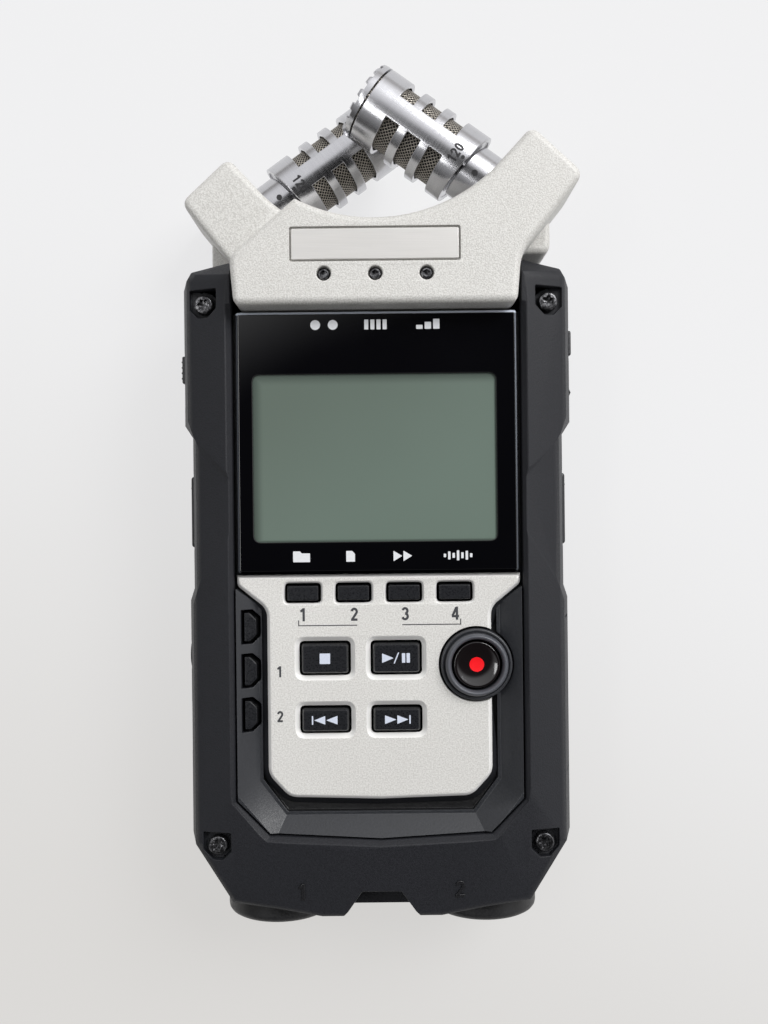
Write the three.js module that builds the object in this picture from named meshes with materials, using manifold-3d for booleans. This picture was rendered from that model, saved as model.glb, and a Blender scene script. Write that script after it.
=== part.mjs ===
// Handheld audio recorder, lying on its back with its front face up.
// Millimetres, +X to its right, +Y towards the microphones, +Z out of its front.
// The origin is the middle of its back, in the plane that it rests on.
import * as THREE from "three";
import { mergeVertices } from "three/addons/utils/BufferGeometryUtils.js";
import Module from "manifold-3d";

const wasm = await Module();
wasm.setup();

// Fits and cutters
const gap = 0.3;
const overrun = 2;
const cutterSpan = 60;
const weldTolerance = 0.001;

// Facets of round shapes
const smallSides = 12;
const roundSides = 32;
const cornerSteps = 3;
const edgeSteps = 2;
const hexSides = 6;
const sharpTurn = 20;

// Body heights
const seamZ = 11.5;
const widestZ = 17;
const browZ = 26.6;
const cheekZ = 27.7;
const frontZ = 30.4;
const shellWall = 2.4;
const flangeUnderZ = 27;

// Body plan, half widths and places along Y
const shoulderHalf = 35.1;
const waistHalf = 33.7;
const hipHalf = 34.4;
const shoulderInnerY = 41;
const shoulderTopHalf = 34.2;
const shoulderTopY = 38.8;
const shoulderCornerY = 37.3;
const waistTopY = 12.7;
const waistFootY = -16.9;
const waistRise = 2.2;
const waistSlant = 2.2;
const hipFootY = -61.3;
const heelHalf = 27.6;
const heelY = -71.6;
const solesHalf = 19.9;
const solesY = -72.7;
const toeHalf = 11.1;
const footY = -74.2;

// How far the wall draws in at each height: sides, foot end, head end
const seamInset = 0.5;
const browSideInset = 2.2;
const browFootInset = 0.6;
const browHeadInset = 0.2;
const cheekSideInset = 3.2;
const cheekFootInset = 1.6;
const cheekHeadInset = 0.8;
const frontSideInset = 9.2;
const frontFootInset = 13;
const frontHeadInset = 1.4;

// Rear cover
const coverFloor = 1.8;
const backEdgeInset = 3.4;
const backRoundInset = 1.3;
const backRoundZ = 1.6;
const coverWall = 2.2;

// Opening in the front for the deck, and the slot for the head
const openingHalf = 24.8;
const openingBevel = 0.9;
const headFootY = 31.5;
const slotFloorZ = 1.9;

// Front deck
const deckUnderZ = 23.2;
const deckFlangeHalf = 27.3;
const deckFlangeThick = 2.2;
const deckRimZ = 29.8;
const deckCornerY = -52.6;
const deckChinHalf = 18.9;
const deckChinY = -58.3;
const deckFootY = -59.2;
const bowlHalf = 20.9;
const bowlStep = 0.6;
const bowlZ = 27.2;
const moatZ = 26;
const bowlCornerY = -49.8;
const bowlChinHalf = 16.4;
const bowlFootY = -55.7;

// Display
const glassHalf = 24.1;
const glassTopY = 31.1;
const glassFootY = -13.7;
const glassZ = 29.5;
const glassThick = 1.5;
const lcdLeftX = -21.9;
const lcdRightX = 21.1;
const lcdTopY = 21.2;
const lcdFootY = -9.2;
const lcdThick = 5.6;
const wellUnderZ = 20.4;
const wellFloor = 1.2;

// Control panel
const panelZ = 29;
const panelThick = 2.7;
const panelEdge = 0.45;
const panelTopY = -13.95;
const panelTopHalf = 24.4;
const panelEarY = -15.8;
const panelHalf = 19.3;
const panelNeckY = -19.9;
const panelCornerY = -48.4;
const panelChinHalf = 15.7;
const panelChinY = -52.3;
const panelFootY = -52.75;

// Keys in the panel
const keyRound = 0.7;
const keyChamfer = 0.65;
const keyWellZ = 24;
const keyFootZ = 24.9;
const keyRise = 0.35;
const bigKeyWide = 8.85;
const bigKeyTall = 5.95;
const lowKeyTall = 4.8;
const keyLeftX = -9.35;
const keyRightX = 2.9;
const upperKeyY = -28.4;
const lowerKeyY = -38.95;
const functionKeyWide = 6.2;
const functionKeyTall = 3.4;
const functionKeyY = -17.15;
const functionKeyPitch = 8.7;
const functionKeyCount = 4;
const functionKeyChamfer = 0.3;

// Record key and its ring
const recordX = 16.67;
const recordY = -29.62;
const ringOuter = 6.15;
const ringCrest = 5.45;
const ringInner = 4.35;
const ringShoulderZ = 29.6;
const ringCrestZ = 31;
const recordKeyZ = 30.1;
const recordKeyDish = 0.45;

// Input keys beside the panel
const inputKeyX = -22.15;
const inputKeyTopY = -22.9;
const inputKeyPitch = 7.57;
const inputKeyWide = 3.1;
const inputKeyTall = 5.9;
const inputKeyChamfer = 1.3;
const inputKeyZ = 28.9;

// Head
const headMidZ = 18.4;
const headHalfDepth = 16.2;
const headEdge = 1.4;
const headWall = 2.6;
const headFootHalf = 23.8;
const headSideHalf = 24.5;
const headSideY = 39.65;
const dipCentreY = 75.05;
const dipRadius = 29;
const dipStartX = -13.4;
const dipEndAngle = -45;
const dipSteps = 10;
const armTopX = 26.5;
const armTopY = 61.05;
const armTipX = 35.15;
const armTipY = 53;
const armReach = 9.3;
const headCorner = 1.9;
const neckHalf = 30.6;
const neckInnerX = 20;
const neckTopY = 48.2;
const neckFootY = 41.4;
const neckLowZ = 4.6;
const neckLeftZ = 13;
const neckSplitZ = 16.6;
const neckHighZ = 26;
const neckCorner = 2;
const neckEdge = 1;
const plateWide = 28;
const plateTall = 5.2;
const plateY = 41.45;
const plateDeep = 0.8;
const plateThick = 0.5;
const headScrewY = 36.55;
const headScrewPitch = 8.6;
const headScrewCount = 3;
const headScrewRadius = 0.95;
const headScrewBore = 1.2;
const headScrewSink = 0.6;
const headScrewHead = 1.4;
const headScrewShank = 0.6;
const headScrewLength = 22;
const headBossRadius = 2.3;

// Microphones
const barrelAngle = 35.7;
const swivelTilt = 7.5;
const micOffset = 7.9;
const micSeamX = 15.78;
const micSeamY = 56;
const barrelRadius = 6.8;
const barrelLength = 19.65;
const barrelWall = 0.8;
const barrelRear = 2.6;
const slotFromFront = 4.3;
const slotWidth = 2.7;
const slotPitch = 4.4;
const slotRows = 3;
const spineHalfAngle = 18;
const sleeveWall = 0.4;
const capRing = 1;
const capTooth = 0.6;
const capToothCount = 16;
const capToothGap = 1.1;
const capStep = 0.3;
const capsuleLength = 5;
const capsuleSink = 1.4;
const stemRadius = 5.15;
const stemVisible = 4.55;
const stemSeat = 5.2;
const pivotRadius = 1.6;
const pivotLength = 1.8;

// Corner screws of the frame
const upperScrewShare = 0.485;
const upperScrewY = 32.8;
const lowerScrewX = 28.3;
const lowerScrewY = -60.7;
const screwHeadRadius = 1.67;
const screwHeadZ = 27.8;
const screwPocketZ = 26.3;
const screwShank = 0.9;
const screwTipZ = 5;
const screwBoss = 2.5;
const pocketHalf = 2.45;
const pocketCutShare = 0.35;
const starPoints = 6;
const starRadius = 1;
const starShare = 0.72;
const starDeep = 0.8;

// Combination jacks
const jackX = 18.5;
const jackZ = 15;
const jackRimRadius = 9.6;
const jackRimChamfer = 1.2;
const jackRimProud = 1.45;
const jackRimLength = 8;
const jackBodyRadius = 7.9;
const jackLength = 21.5;
const jackBore = 8.6;
const jackBoreDeep = 6.8;
const jackCore = 6.1;
const jackCoreSink = 1.4;
const plugBore = 3.5;
const plugDeep = 14;
const latchWide = 6.4;
const latchThick = 1.8;
const latchLength = 7;
const latchProud = 0.9;
const latchZ = 3.1;
const notchFootHalf = 6.6;
const notchTopHalf = 3.4;
const notchTopY = -68.75;
const notchFloorZ = 19;
const notchBlockHalf = 8.4;
const notchBlockY = -65.8;

// Battery bay
const cellRadius = 7.2;
const cellLength = 50;
const cellNub = 1;
const cellNubRadius = 2.6;
const cellStartY = -49.6;
const bayWall = 1.2;
const bayRoof = 1.2;
const doorThick = 1.5;
const doorLip = 1.6;
const doorRound = 3;

// Board
const boardThick = 1.6;
const boardSide = 1.4;
const boardTopY = 29.6;
const boardFootIn = 5.6;
const boardPostOut = 7.45;
const boardPostTopY = 4;
const boardPostRadius = 2;

// Things in the back
const bushY = 14;
const bushFlange = 7.5;
const bushRadius = 4.8;
const bushBore = 3.15;
const bushHeight = 8.4;
const bushDeep = 7.2;
const speakerX = -17;
const speakerY = 20;
const speakerRadius = 8.5;
const speakerHeight = 4;
const speakerSlotWide = 1.1;
const speakerSlotPitch = 2.4;
const speakerSlotShares = [0.55, 0.85, 1, 0.85, 0.55];
const speakerSlotHalf = 6;
const micInX = 17;
const micInY = 24;
const micInRadius = 3.4;
const miniBore = 1.85;
const micInHeight = 9;
const miniDeep = 7.5;

// Things in the sides
const sideZ = 15.1;
const sideTall = 4.4;
const sideProud = 0.5;
const rockerLength = 13;
const rockerY = -3;
const rockerDeep = 3.6;
const powerY = 21;
const powerKnobLong = 5;
const powerTravel = 4;
const powerBaseLong = 11.5;
const powerBaseDeep = 1.4;
const phonesY = -29;
const phonesRadius = 3;
const phonesCube = 6;
const phonesShare = 0.63;
const usbY = -42;
const usbWide = 8.2;
const usbTall = 4;
const usbShell = 0.5;
const usbShare = 0.5;
const usbBack = 1.6;
const usbTongue = 0.9;
const wheelY = 18.2;
const wheelRadius = 6;
const wheelThick = 3;
const wheelProud = 0.4;
const wheelWindow = 11.4;
const wheelShaft = 1;
const wheelRibs = 20;
const wheelRibDeep = 0.35;
const menuY = 27.2;
const menuLong = 4.6;
const menuDeep = 3;
const cardDoorLong = 27;
const cardDoorTall = 5.4;
const cardDoorThick = 1.4;
const cardY = -36;
const cardWide = 24;
const cardLong = 32;
const cardThick = 2.1;
const cardCorner = 3.2;
const dcWide = 9;
const dcTall = 8.8;
const dcLong = 11;
const dcBore = 2.9;
const dcDeep = 9;
const dcSink = 0.5;

const boardZ = coverFloor + gap + 2 * cellRadius + 2 * gap + bayRoof + gap - doorLip + doorThick;
const cardZ = boardZ + boardThick + gap + cardThick / 2;

// Turns a closed geometry into a solid that can be cut and joined.
function solid(geometry) {
  const bare = geometry.index ? geometry.toNonIndexed() : geometry.clone();
  const points = new THREE.BufferGeometry();
  points.setAttribute("position", bare.getAttribute("position"));
  const merged = mergeVertices(points, weldTolerance);
  const kept = [];
  const index = merged.index.array;
  for (let i = 0; i < index.length; i += 3) {
    const [a, b, c] = [index[i], index[i + 1], index[i + 2]];
    if (a !== b && b !== c && c !== a) kept.push(a, b, c);
  }
  const make = (triVerts) =>
    new wasm.Manifold(
      new wasm.Mesh({
        numProp: 3,
        vertProperties: merged.attributes.position.array,
        triVerts: new Uint32Array(triVerts),
      }),
    );
  const made = make(kept);
  if (made.volume() > 0) return made;
  // A profile that ran the other way round gives faces that point inwards, so they are turned.
  for (let i = 0; i < kept.length; i += 3) {
    [kept[i + 1], kept[i + 2]] = [kept[i + 2], kept[i + 1]];
  }
  return make(kept);
}

// Turns a solid back into a flat shaded geometry.
function geometryOf(made) {
  const mesh = made.getMesh();
  const corners = new Float32Array(mesh.numVert * 3);
  for (let i = 0; i < mesh.numVert; i++) {
    const start = i * mesh.numProp;
    corners.set(mesh.vertProperties.subarray(start, start + 3), i * 3);
  }
  const indexed = new THREE.BufferGeometry();
  indexed.setAttribute("position", new THREE.BufferAttribute(corners, 3));
  indexed.setIndex(new THREE.BufferAttribute(new Uint32Array(mesh.triVerts), 1));
  const flat = indexed.toNonIndexed();
  flat.computeVertexNormals();
  return flat;
}

const radians = THREE.MathUtils.degToRad;
const vectors = (points) => points.map(([x, y]) => new THREE.Vector2(x, y));
const mirrored = (half) => [...half, ...half.map(([x, y]) => [-x, y]).reverse()];

// Rounds each sharp corner of a closed outline by an arc that starts at the given reach before it.
function rounded(points, reach, steps = cornerSteps) {
  const out = [];
  points.forEach(([x, y], i) => {
    const corner = new THREE.Vector2(x, y);
    const before = new THREE.Vector2(...points.at(i - 1)).sub(corner);
    const after = new THREE.Vector2(...points[(i + 1) % points.length]).sub(corner);
    const limit = Math.min(before.length(), after.length()) / 2;
    const turn = Math.PI - Math.abs(before.angleTo(after));
    if (turn < radians(sharpTurn)) {
      out.push([x, y]);
      return;
    }
    const size = Math.min(reach, limit);
    const start = corner.clone().addScaledVector(before.normalize(), size);
    const end = corner.clone().addScaledVector(after.normalize(), size);
    const curve = new THREE.QuadraticBezierCurve(start, corner, end);
    curve.getPoints(steps).forEach((p) => out.push([p.x, p.y]));
  });
  return out;
}

// A flat plate of the given outline between two heights.
function plate(points, low, high) {
  const shape = new THREE.Shape(vectors(points));
  const made = new THREE.ExtrudeGeometry(shape, { depth: high - low, bevelEnabled: false });
  return solid(made.translate(0, 0, low));
}

// A plate whose two rims are rounded by the given edge, inside the outline.
function softPlate(points, low, high, edge, steps) {
  const shape = new THREE.Shape(vectors(points));
  const made = new THREE.ExtrudeGeometry(shape, {
    depth: high - low - 2 * edge,
    bevelThickness: edge,
    bevelSize: edge,
    bevelOffset: -edge,
    bevelSegments: steps,
  });
  return solid(made.translate(0, 0, low + edge));
}

// A plate that widens or narrows from one outline to another with as many points.
function loft(rings) {
  const count = rings[0].points.length;
  const at = (k, i) => [...rings[k].points[i % count], rings[k].z];
  const corners = [];
  for (let k = 0; k + 1 < rings.length; k++) {
    for (let i = 0; i < count; i++) {
      corners.push(at(k, i), at(k, i + 1), at(k + 1, i + 1));
      corners.push(at(k, i), at(k + 1, i + 1), at(k + 1, i));
    }
  }
  const last = rings.length - 1;
  THREE.ShapeUtils.triangulateShape(vectors(rings[0].points), []).forEach(([a, b, c]) => {
    corners.push(at(0, a), at(0, c), at(0, b));
  });
  THREE.ShapeUtils.triangulateShape(vectors(rings[last].points), []).forEach(([a, b, c]) => {
    corners.push(at(last, a), at(last, b), at(last, c));
  });
  const made = new THREE.BufferGeometry();
  made.setAttribute("position", new THREE.Float32BufferAttribute(corners.flat(), 3));
  return solid(made);
}

function block(lowX, highX, lowY, highY, lowZ, highZ) {
  const made = new THREE.BoxGeometry(highX - lowX, highY - lowY, highZ - lowZ);
  return solid(made.translate((lowX + highX) / 2, (lowY + highY) / 2, (lowZ + highZ) / 2));
}

// A round bar along Z.
function post(radius, x, y, low, high, sides = roundSides) {
  const made = new THREE.CylinderGeometry(radius, radius, high - low, sides);
  return solid(made.rotateX(Math.PI / 2).translate(x, y, (low + high) / 2));
}

// A round bar along Y.
function barAlongY(radius, x, z, low, high, sides = roundSides) {
  const made = new THREE.CylinderGeometry(radius, radius, high - low, sides);
  return solid(made.translate(x, (low + high) / 2, z));
}

// A round bar along X.
function barAlongX(radius, y, z, low, high, sides = roundSides) {
  const made = new THREE.CylinderGeometry(radius, radius, high - low, sides);
  return solid(made.rotateZ(Math.PI / 2).translate((low + high) / 2, y, z));
}

// A solid of revolution about Z from a closed profile of radius and height.
function turned(profile, sides = roundSides) {
  const made = new THREE.LatheGeometry(vectors(profile), sides);
  return solid(made.rotateX(Math.PI / 2));
}

const joined = (solids) => solids.reduce((all, next) => all.add(next));
const cut = (from, cutters) => cutters.reduce((left, next) => left.subtract(next), from);

function rectangle(x, y, wide, tall) {
  const [w, t] = [wide / 2, tall / 2];
  return [[x - w, y - t], [x + w, y - t], [x + w, y + t], [x - w, y + t]];
}

// The body's plan on its right half, from the foot round to the head end.
const bodyHalf = [
  [toeHalf, footY],
  [solesHalf, solesY],
  [heelHalf, heelY],
  [hipHalf, hipFootY],
  [hipHalf, waistFootY - waistRise],
  [waistHalf, waistFootY],
  [waistHalf, waistTopY - waistRise],
  [shoulderHalf, waistTopY],
  [shoulderHalf, shoulderCornerY],
  [shoulderTopHalf, shoulderTopY],
  [openingHalf, shoulderInnerY],
];

// The plan drawn in by its own amount at the sides, the foot end and the head end. Above the brow the ends
// of the waist draw together, so that their edges run slanting over the front face.
function bodyRing(z, side, foot, head) {
  const slant = waistSlant * Math.max(0, z - browZ);
  const half = bodyHalf.map(([x, y]) => {
    const drawn = y < 0 ? y * (1 + foot / footY) : y * (1 - head / shoulderInnerY);
    const waist = y <= waistTopY && y >= waistFootY - waistRise;
    return [x * (1 - side / shoulderHalf), waist ? drawn - Math.sign(y) * slant : drawn];
  });
  return { z, points: mirrored(half) };
}

// Half width of the wall's outer face at a place along Y, at its widest height.
function wallHalf(y) {
  if (y > waistTopY) return shoulderHalf;
  return y > waistFootY ? waistHalf : hipHalf;
}

const deckHalf = openingHalf - gap;
function deckOutline(grow) {
  const half = [
    [0, deckFootY - grow],
    [deckChinHalf + grow / 2, deckChinY - grow],
    [deckHalf + grow, deckCornerY - grow / 2],
    [deckHalf + grow, headFootY + grow - gap],
  ];
  return mirrored(half).slice(0, -1);
}

const jackSides = [-1, 1];
const jackRimY = footY - jackRimProud;
// The upper screws stand in the rim between the opening and the shoulder.
const upperScrewX = openingHalf + (shoulderHalf - openingHalf) * upperScrewShare;
const frameScrews = [
  ["upper_left", -upperScrewX, upperScrewY],
  ["upper_right", upperScrewX, upperScrewY],
  ["lower_left", -lowerScrewX, lowerScrewY],
  ["lower_right", lowerScrewX, lowerScrewY],
];

// Clearance for the jacks' rims and bodies, cut from both shells.
function jackClearance() {
  const cutters = jackSides.flatMap((side) => [
    barAlongY(jackRimRadius + gap, side * jackX, jackZ, footY - overrun, jackRimY + jackRimLength + gap),
    barAlongY(jackBodyRadius + gap, side * jackX, jackZ, footY, jackRimY + jackLength + gap),
  ]);
  return joined(cutters);
}

// Room for the foot of the head between the shoulders, widening along its slanted sides.
function headSlot(low, high) {
  const slope = (armTipY - headSideY) / (armTipX - headSideHalf);
  const half = [
    [openingHalf, headFootY - gap],
    [openingHalf + gap / 2, headSideY],
    [openingHalf + overrun, headSideY + slope * (overrun - gap / 2)],
  ];
  return plate(mirrored(half), low, high);
}

// Window through one side wall, centred on a control.
function sideWindow(side, y, long, tall, z = sideZ) {
  const inner = side * (wallHalf(y) - shellWall - overrun);
  const outer = side * (wallHalf(y) + overrun);
  const [low, high] = [Math.min(inner, outer), Math.max(inner, outer)];
  return block(low, high, y - long / 2, y + long / 2, z - tall / 2, z + tall / 2);
}

// Outline of a screw pocket: flat across the top, with its lower corners cut off.
function pocketOutline(x, y) {
  const low = pocketHalf * pocketCutShare;
  return [
    [x - pocketHalf, y - low],
    [x - low, y - pocketHalf],
    [x + low, y - pocketHalf],
    [x + pocketHalf, y - low],
    [x + pocketHalf, y + pocketHalf],
    [x - pocketHalf, y + pocketHalf],
  ];
}

// Outside of the frame, with its side walls drawn in by a thickness.
function frameSkin(thick) {
  return loft([
    bodyRing(seamZ + gap / 2, seamInset + thick, seamInset, seamInset),
    bodyRing(widestZ, thick, 0, 0),
    bodyRing(browZ, browSideInset + thick, browFootInset, browHeadInset),
    bodyRing(cheekZ, cheekSideInset + thick, cheekFootInset, cheekHeadInset),
    bodyRing(frontZ, frontSideInset + thick, frontFootInset, frontHeadInset),
  ]);
}

function outerFrame() {
  const skin = frameSkin(0);
  const hollow = loft([
    bodyRing(seamZ - overrun, seamInset + shellWall, seamInset + shellWall, seamInset + shellWall),
    bodyRing(widestZ, shellWall, shellWall, shellWall),
    bodyRing(browZ, browSideInset + shellWall, browFootInset + shellWall, browHeadInset + shellWall),
    bodyRing(flangeUnderZ, cheekSideInset + shellWall, cheekFootInset + shellWall, cheekHeadInset + shellWall),
  ]);
  const bossTop = flangeUnderZ + gap;
  const bosses = frameScrews.map(([, x, y]) => post(screwBoss, x, y, seamZ + gap / 2, bossTop, smallSides));
  const notchBlock = block(
    -notchBlockHalf, notchBlockHalf, footY + shellWall / 2, notchBlockY, seamZ + gap / 2, bossTop,
  );
  const lidTop = frontZ + overrun;
  const opening = plate(deckOutline(gap), flangeUnderZ - overrun, lidTop);
  const bevel = loft([
    { z: frontZ - openingBevel, points: deckOutline(gap) },
    { z: frontZ + openingBevel, points: deckOutline(gap + 2 * openingBevel) },
  ]);
  const notchHalf = [
    [notchFootHalf + overrun, footY - overrun],
    [notchFootHalf, footY + browFootInset],
    [notchTopHalf, notchTopY],
  ];
  const notch = plate(mirrored(notchHalf), notchFloorZ, lidTop);
  const screwCuts = frameScrews.flatMap(([, x, y]) => [
    post(screwShank + gap, x, y, seamZ - overrun, lidTop, smallSides),
    plate(pocketOutline(x, y), screwPocketZ, lidTop),
  ]);
  const deckRoom = plate(deckOutline(deckFlangeHalf - deckHalf + gap), deckUnderZ - gap, flangeUnderZ);
  const windows = [
    sideWindow(-1, powerY, powerKnobLong + powerTravel + 2 * gap, sideTall),
    sideWindow(-1, rockerY, rockerLength + 2 * gap, sideTall),
    sideWindow(-1, usbY, usbWide + 2 * gap, usbTall + 2 * gap),
    sideWindow(1, rockerY, rockerLength + 2 * gap, sideTall),
    sideWindow(1, wheelY, wheelWindow, wheelThick + 2 * gap),
    sideWindow(1, menuY, menuLong + 2 * gap, sideTall),
    sideWindow(1, cardY, cardDoorLong + 2 * gap, cardDoorTall + 2 * gap, cardZ),
    barAlongX(phonesRadius + gap, phonesY, sideZ, -cutterSpan, -hipHalf + shellWall + overrun, smallSides),
  ];
  const walls = cut(skin, [hollow, ...windows]);
  const shell = joined([walls, skin.intersect(joined([...bosses, notchBlock]))]);
  const slot = headSlot(seamZ - overrun, lidTop);
  return cut(shell, [opening, bevel, slot, notch, deckRoom, jackClearance(), ...screwCuts]);
}

// Half width of the board beside a wall of the given half width.
const boardHalf = (half) => half - shellWall - boardSide;

const bayHalf = 2 * cellRadius + gap / 2 + gap;
const bayFootY = cellStartY - 2 * gap;
const bayTopY = cellStartY + cellLength + cellNub + 2 * gap;
const cellZ = doorThick + gap + cellRadius;
const bayRoofZ = cellZ + cellRadius + gap;

// Depth between a side wall and the battery bay, for a socket in that wall.
const socketRoom = (y) => wallHalf(y) - shellWall - bayHalf - bayWall;

function rearCover() {
  const ringTop = seamZ - gap / 2;
  const skin = loft([
    bodyRing(0, backEdgeInset, backEdgeInset, backEdgeInset),
    bodyRing(backRoundZ, backRoundInset, backRoundInset, backRoundInset),
    bodyRing(ringTop, seamInset, seamInset, seamInset),
  ]);
  const inset = seamInset + coverWall;
  const hollow = loft([
    bodyRing(coverFloor, inset + backRoundInset, inset + backRoundInset, inset + backRoundInset),
    bodyRing(ringTop + overrun, inset, inset, inset),
  ]);
  const bayBox = block(
    -bayHalf - bayWall, bayHalf + bayWall, bayFootY - bayWall, bayTopY + bayWall, 0, bayRoofZ + bayRoof,
  );
  const bayRoom = block(-bayHalf, bayHalf, bayFootY, bayTopY, -overrun, bayRoofZ);
  const doorRoom = plate(doorOutline(gap), -overrun, doorThick + gap);
  const screwPosts = frameScrews.map(([, x, y]) => post(screwBoss, x, y, coverFloor / 2, ringTop, smallSides));
  const boardPostX = bayHalf + bayWall + boardPostOut;
  const boardPostFootY = usbY - usbWide / 2 - 2 * gap - boardPostRadius;
  const boardPosts = [-boardPostX, boardPostX].flatMap((x) =>
    [boardPostTopY, boardPostFootY].map((y) => {
      return post(boardPostRadius, x, y, coverFloor / 2, boardZ - gap, smallSides);
    }),
  );
  const holeTop = ringTop + overrun;
  const screwHoles = frameScrews.map(([, x, y]) => {
    return post(screwShank + gap, x, y, screwTipZ - gap, holeTop, smallSides);
  });
  const floorTop = coverFloor + gap;
  const slots = speakerSlotShares.map((share, i) => {
    const y = speakerY + (i - (speakerSlotShares.length - 1) / 2) * speakerSlotPitch;
    const half = speakerSlotHalf * share;
    const wide = speakerSlotWide / 2;
    return block(speakerX - half, speakerX + half, y - wide, y + wide, -overrun, floorTop);
  });
  const dcBackY = footY + coverWall + 2 * overrun;
  const holes = [
    post(bushFlange + gap, 0, bushY, -overrun, floorTop),
    post(micInRadius + gap, micInX, micInY, -overrun, floorTop, smallSides),
    block(-dcWide / 2 - gap, dcWide / 2 + gap, footY - overrun, dcBackY, coverFloor + gap / 2, holeTop),
    ...jackSides.map((side) =>
      block(
        side * jackX - latchWide / 2 - gap, side * jackX + latchWide / 2 + gap,
        footY - overrun, jackRimY + jackRimLength + gap, latchZ - gap, jackZ - jackRimRadius + gap,
      ),
    ),
  ];
  const shell = joined([cut(skin, [hollow]), bayBox, skin.intersect(joined(screwPosts)), ...boardPosts]);
  const slot = headSlot(slotFloorZ, ringTop + overrun);
  return cut(shell, [bayRoom, doorRoom, slot, jackClearance(), ...screwHoles, ...slots, ...holes]);
}

function doorOutline(grow) {
  const centreY = (bayFootY + bayTopY) / 2;
  const wide = 2 * (bayHalf + doorLip + grow);
  const tall = bayTopY - bayFootY + 2 * (doorLip + grow);
  return rounded(rectangle(0, centreY, wide, tall), doorRound);
}

function batteryDoor() {
  return plate(doorOutline(0), 0, doorThick);
}

function battery(side) {
  const x = side * (cellRadius + gap / 2);
  const foot = side < 0 ? cellStartY : cellStartY + cellNub;
  const can = barAlongY(cellRadius, x, cellZ, foot, foot + cellLength, roundSides / 2);
  const nub = side < 0
    ? barAlongY(cellNubRadius, x, cellZ, foot + cellLength - cellNub, foot + cellLength + cellNub, smallSides)
    : barAlongY(cellNubRadius, x, cellZ, foot - cellNub, foot + cellNub, smallSides);
  return can.add(nub);
}

// Board with the shaft that the scroll wheel turns on.
const wheelX = shoulderHalf + wheelProud - wheelRadius;
function mainBoard() {
  const boardFootY = lowerScrewY + screwBoss + boardFootIn;
  const half = [
    [boardHalf(hipHalf), boardFootY],
    [boardHalf(hipHalf), waistFootY - waistRise],
    [boardHalf(waistHalf), waistFootY],
    [boardHalf(waistHalf), waistTopY - waistRise],
    [boardHalf(shoulderHalf), waistTopY],
    [boardHalf(shoulderHalf), boardTopY],
  ];
  const slab = plate(mirrored(half), boardZ, boardZ + boardThick);
  const shaft = post(wheelShaft, wheelX, wheelY, sideZ - wheelThick / 2, boardZ + boardThick / 2, smallSides);
  return slab.add(shaft);
}

function frontDeck() {
  const body = plate(deckOutline(0), deckUnderZ, deckRimZ);
  const flangeTop = flangeUnderZ - gap;
  const flange = plate(deckOutline(deckFlangeHalf - deckHalf), flangeTop - deckFlangeThick, flangeTop);
  const headClear = block(
    -cutterSpan, cutterSpan, headFootY - gap, headFootY + overrun + deckFlangeHalf, 0, frontZ + overrun,
  );
  const glassBed = block(
    -cutterSpan, cutterSpan, panelTopY + gap / 2, headFootY + overrun, glassZ - glassThick - gap, frontZ + overrun,
  );
  const lcdMidX = (lcdLeftX + lcdRightX) / 2;
  const lcdMidY = (lcdFootY + lcdTopY) / 2;
  const lcdWide = lcdRightX - lcdLeftX;
  const lcdTall = lcdTopY - lcdFootY;
  const well = plate(
    rectangle(lcdMidX, lcdMidY, lcdWide + 2 * gap, lcdTall + 2 * gap),
    wellUnderZ + wellFloor,
    frontZ + overrun,
  );
  const wellWall = gap + wellFloor;
  const wellBox = plate(
    rectangle(lcdMidX, lcdMidY, lcdWide + 2 * wellWall, lcdTall + 2 * wellWall),
    wellUnderZ,
    deckUnderZ + overrun,
  );
  const earRoom = block(-openingHalf, openingHalf, panelEarY - gap, panelTopY + gap / 2, moatZ, frontZ + overrun);
  const panelRoom = plate(panelOutline(gap), moatZ, frontZ + overrun);
  const bowlOutline = (grow) =>
    mirrored([
      [0, bowlFootY - grow],
      [bowlChinHalf + grow / 2, bowlFootY - grow],
      [bowlHalf + grow, bowlCornerY - grow / 2],
      [bowlHalf + grow, panelTopY + gap / 2],
    ]).slice(0, -1);
  const rise = deckHalf - bowlHalf;
  const bowl = loft([
    { z: bowlZ, points: bowlOutline(0) },
    { z: deckRimZ + overrun, points: bowlOutline(rise * (1 + overrun / (deckRimZ - bowlZ))) },
  ]);
  const moat = plate(bowlOutline(-bowlStep), moatZ, frontZ + overrun);
  const wells = panelKeys.map(({ outline }) => plate(outline(0), keyWellZ, frontZ + overrun));
  const inputWells = inputKeys.map(({ outline }) => plate(outline(0), keyWellZ, frontZ + overrun));
  const ringWell = post(ringInner, recordX, recordY, keyWellZ, frontZ + overrun);
  const ringRoom = post(ringOuter + gap, recordX, recordY, moatZ, frontZ + overrun);
  const corners = frameScrews.map(([, x, y]) => post(screwBoss + gap, x, y, 0, frontZ + overrun, smallSides));
  const cutters = [headClear, glassBed, well, bowl, moat, earRoom, panelRoom, ringWell, ringRoom];
  return cut(joined([body, flange, wellBox]), [...cutters, ...wells, ...inputWells, ...corners]);
}

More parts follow.
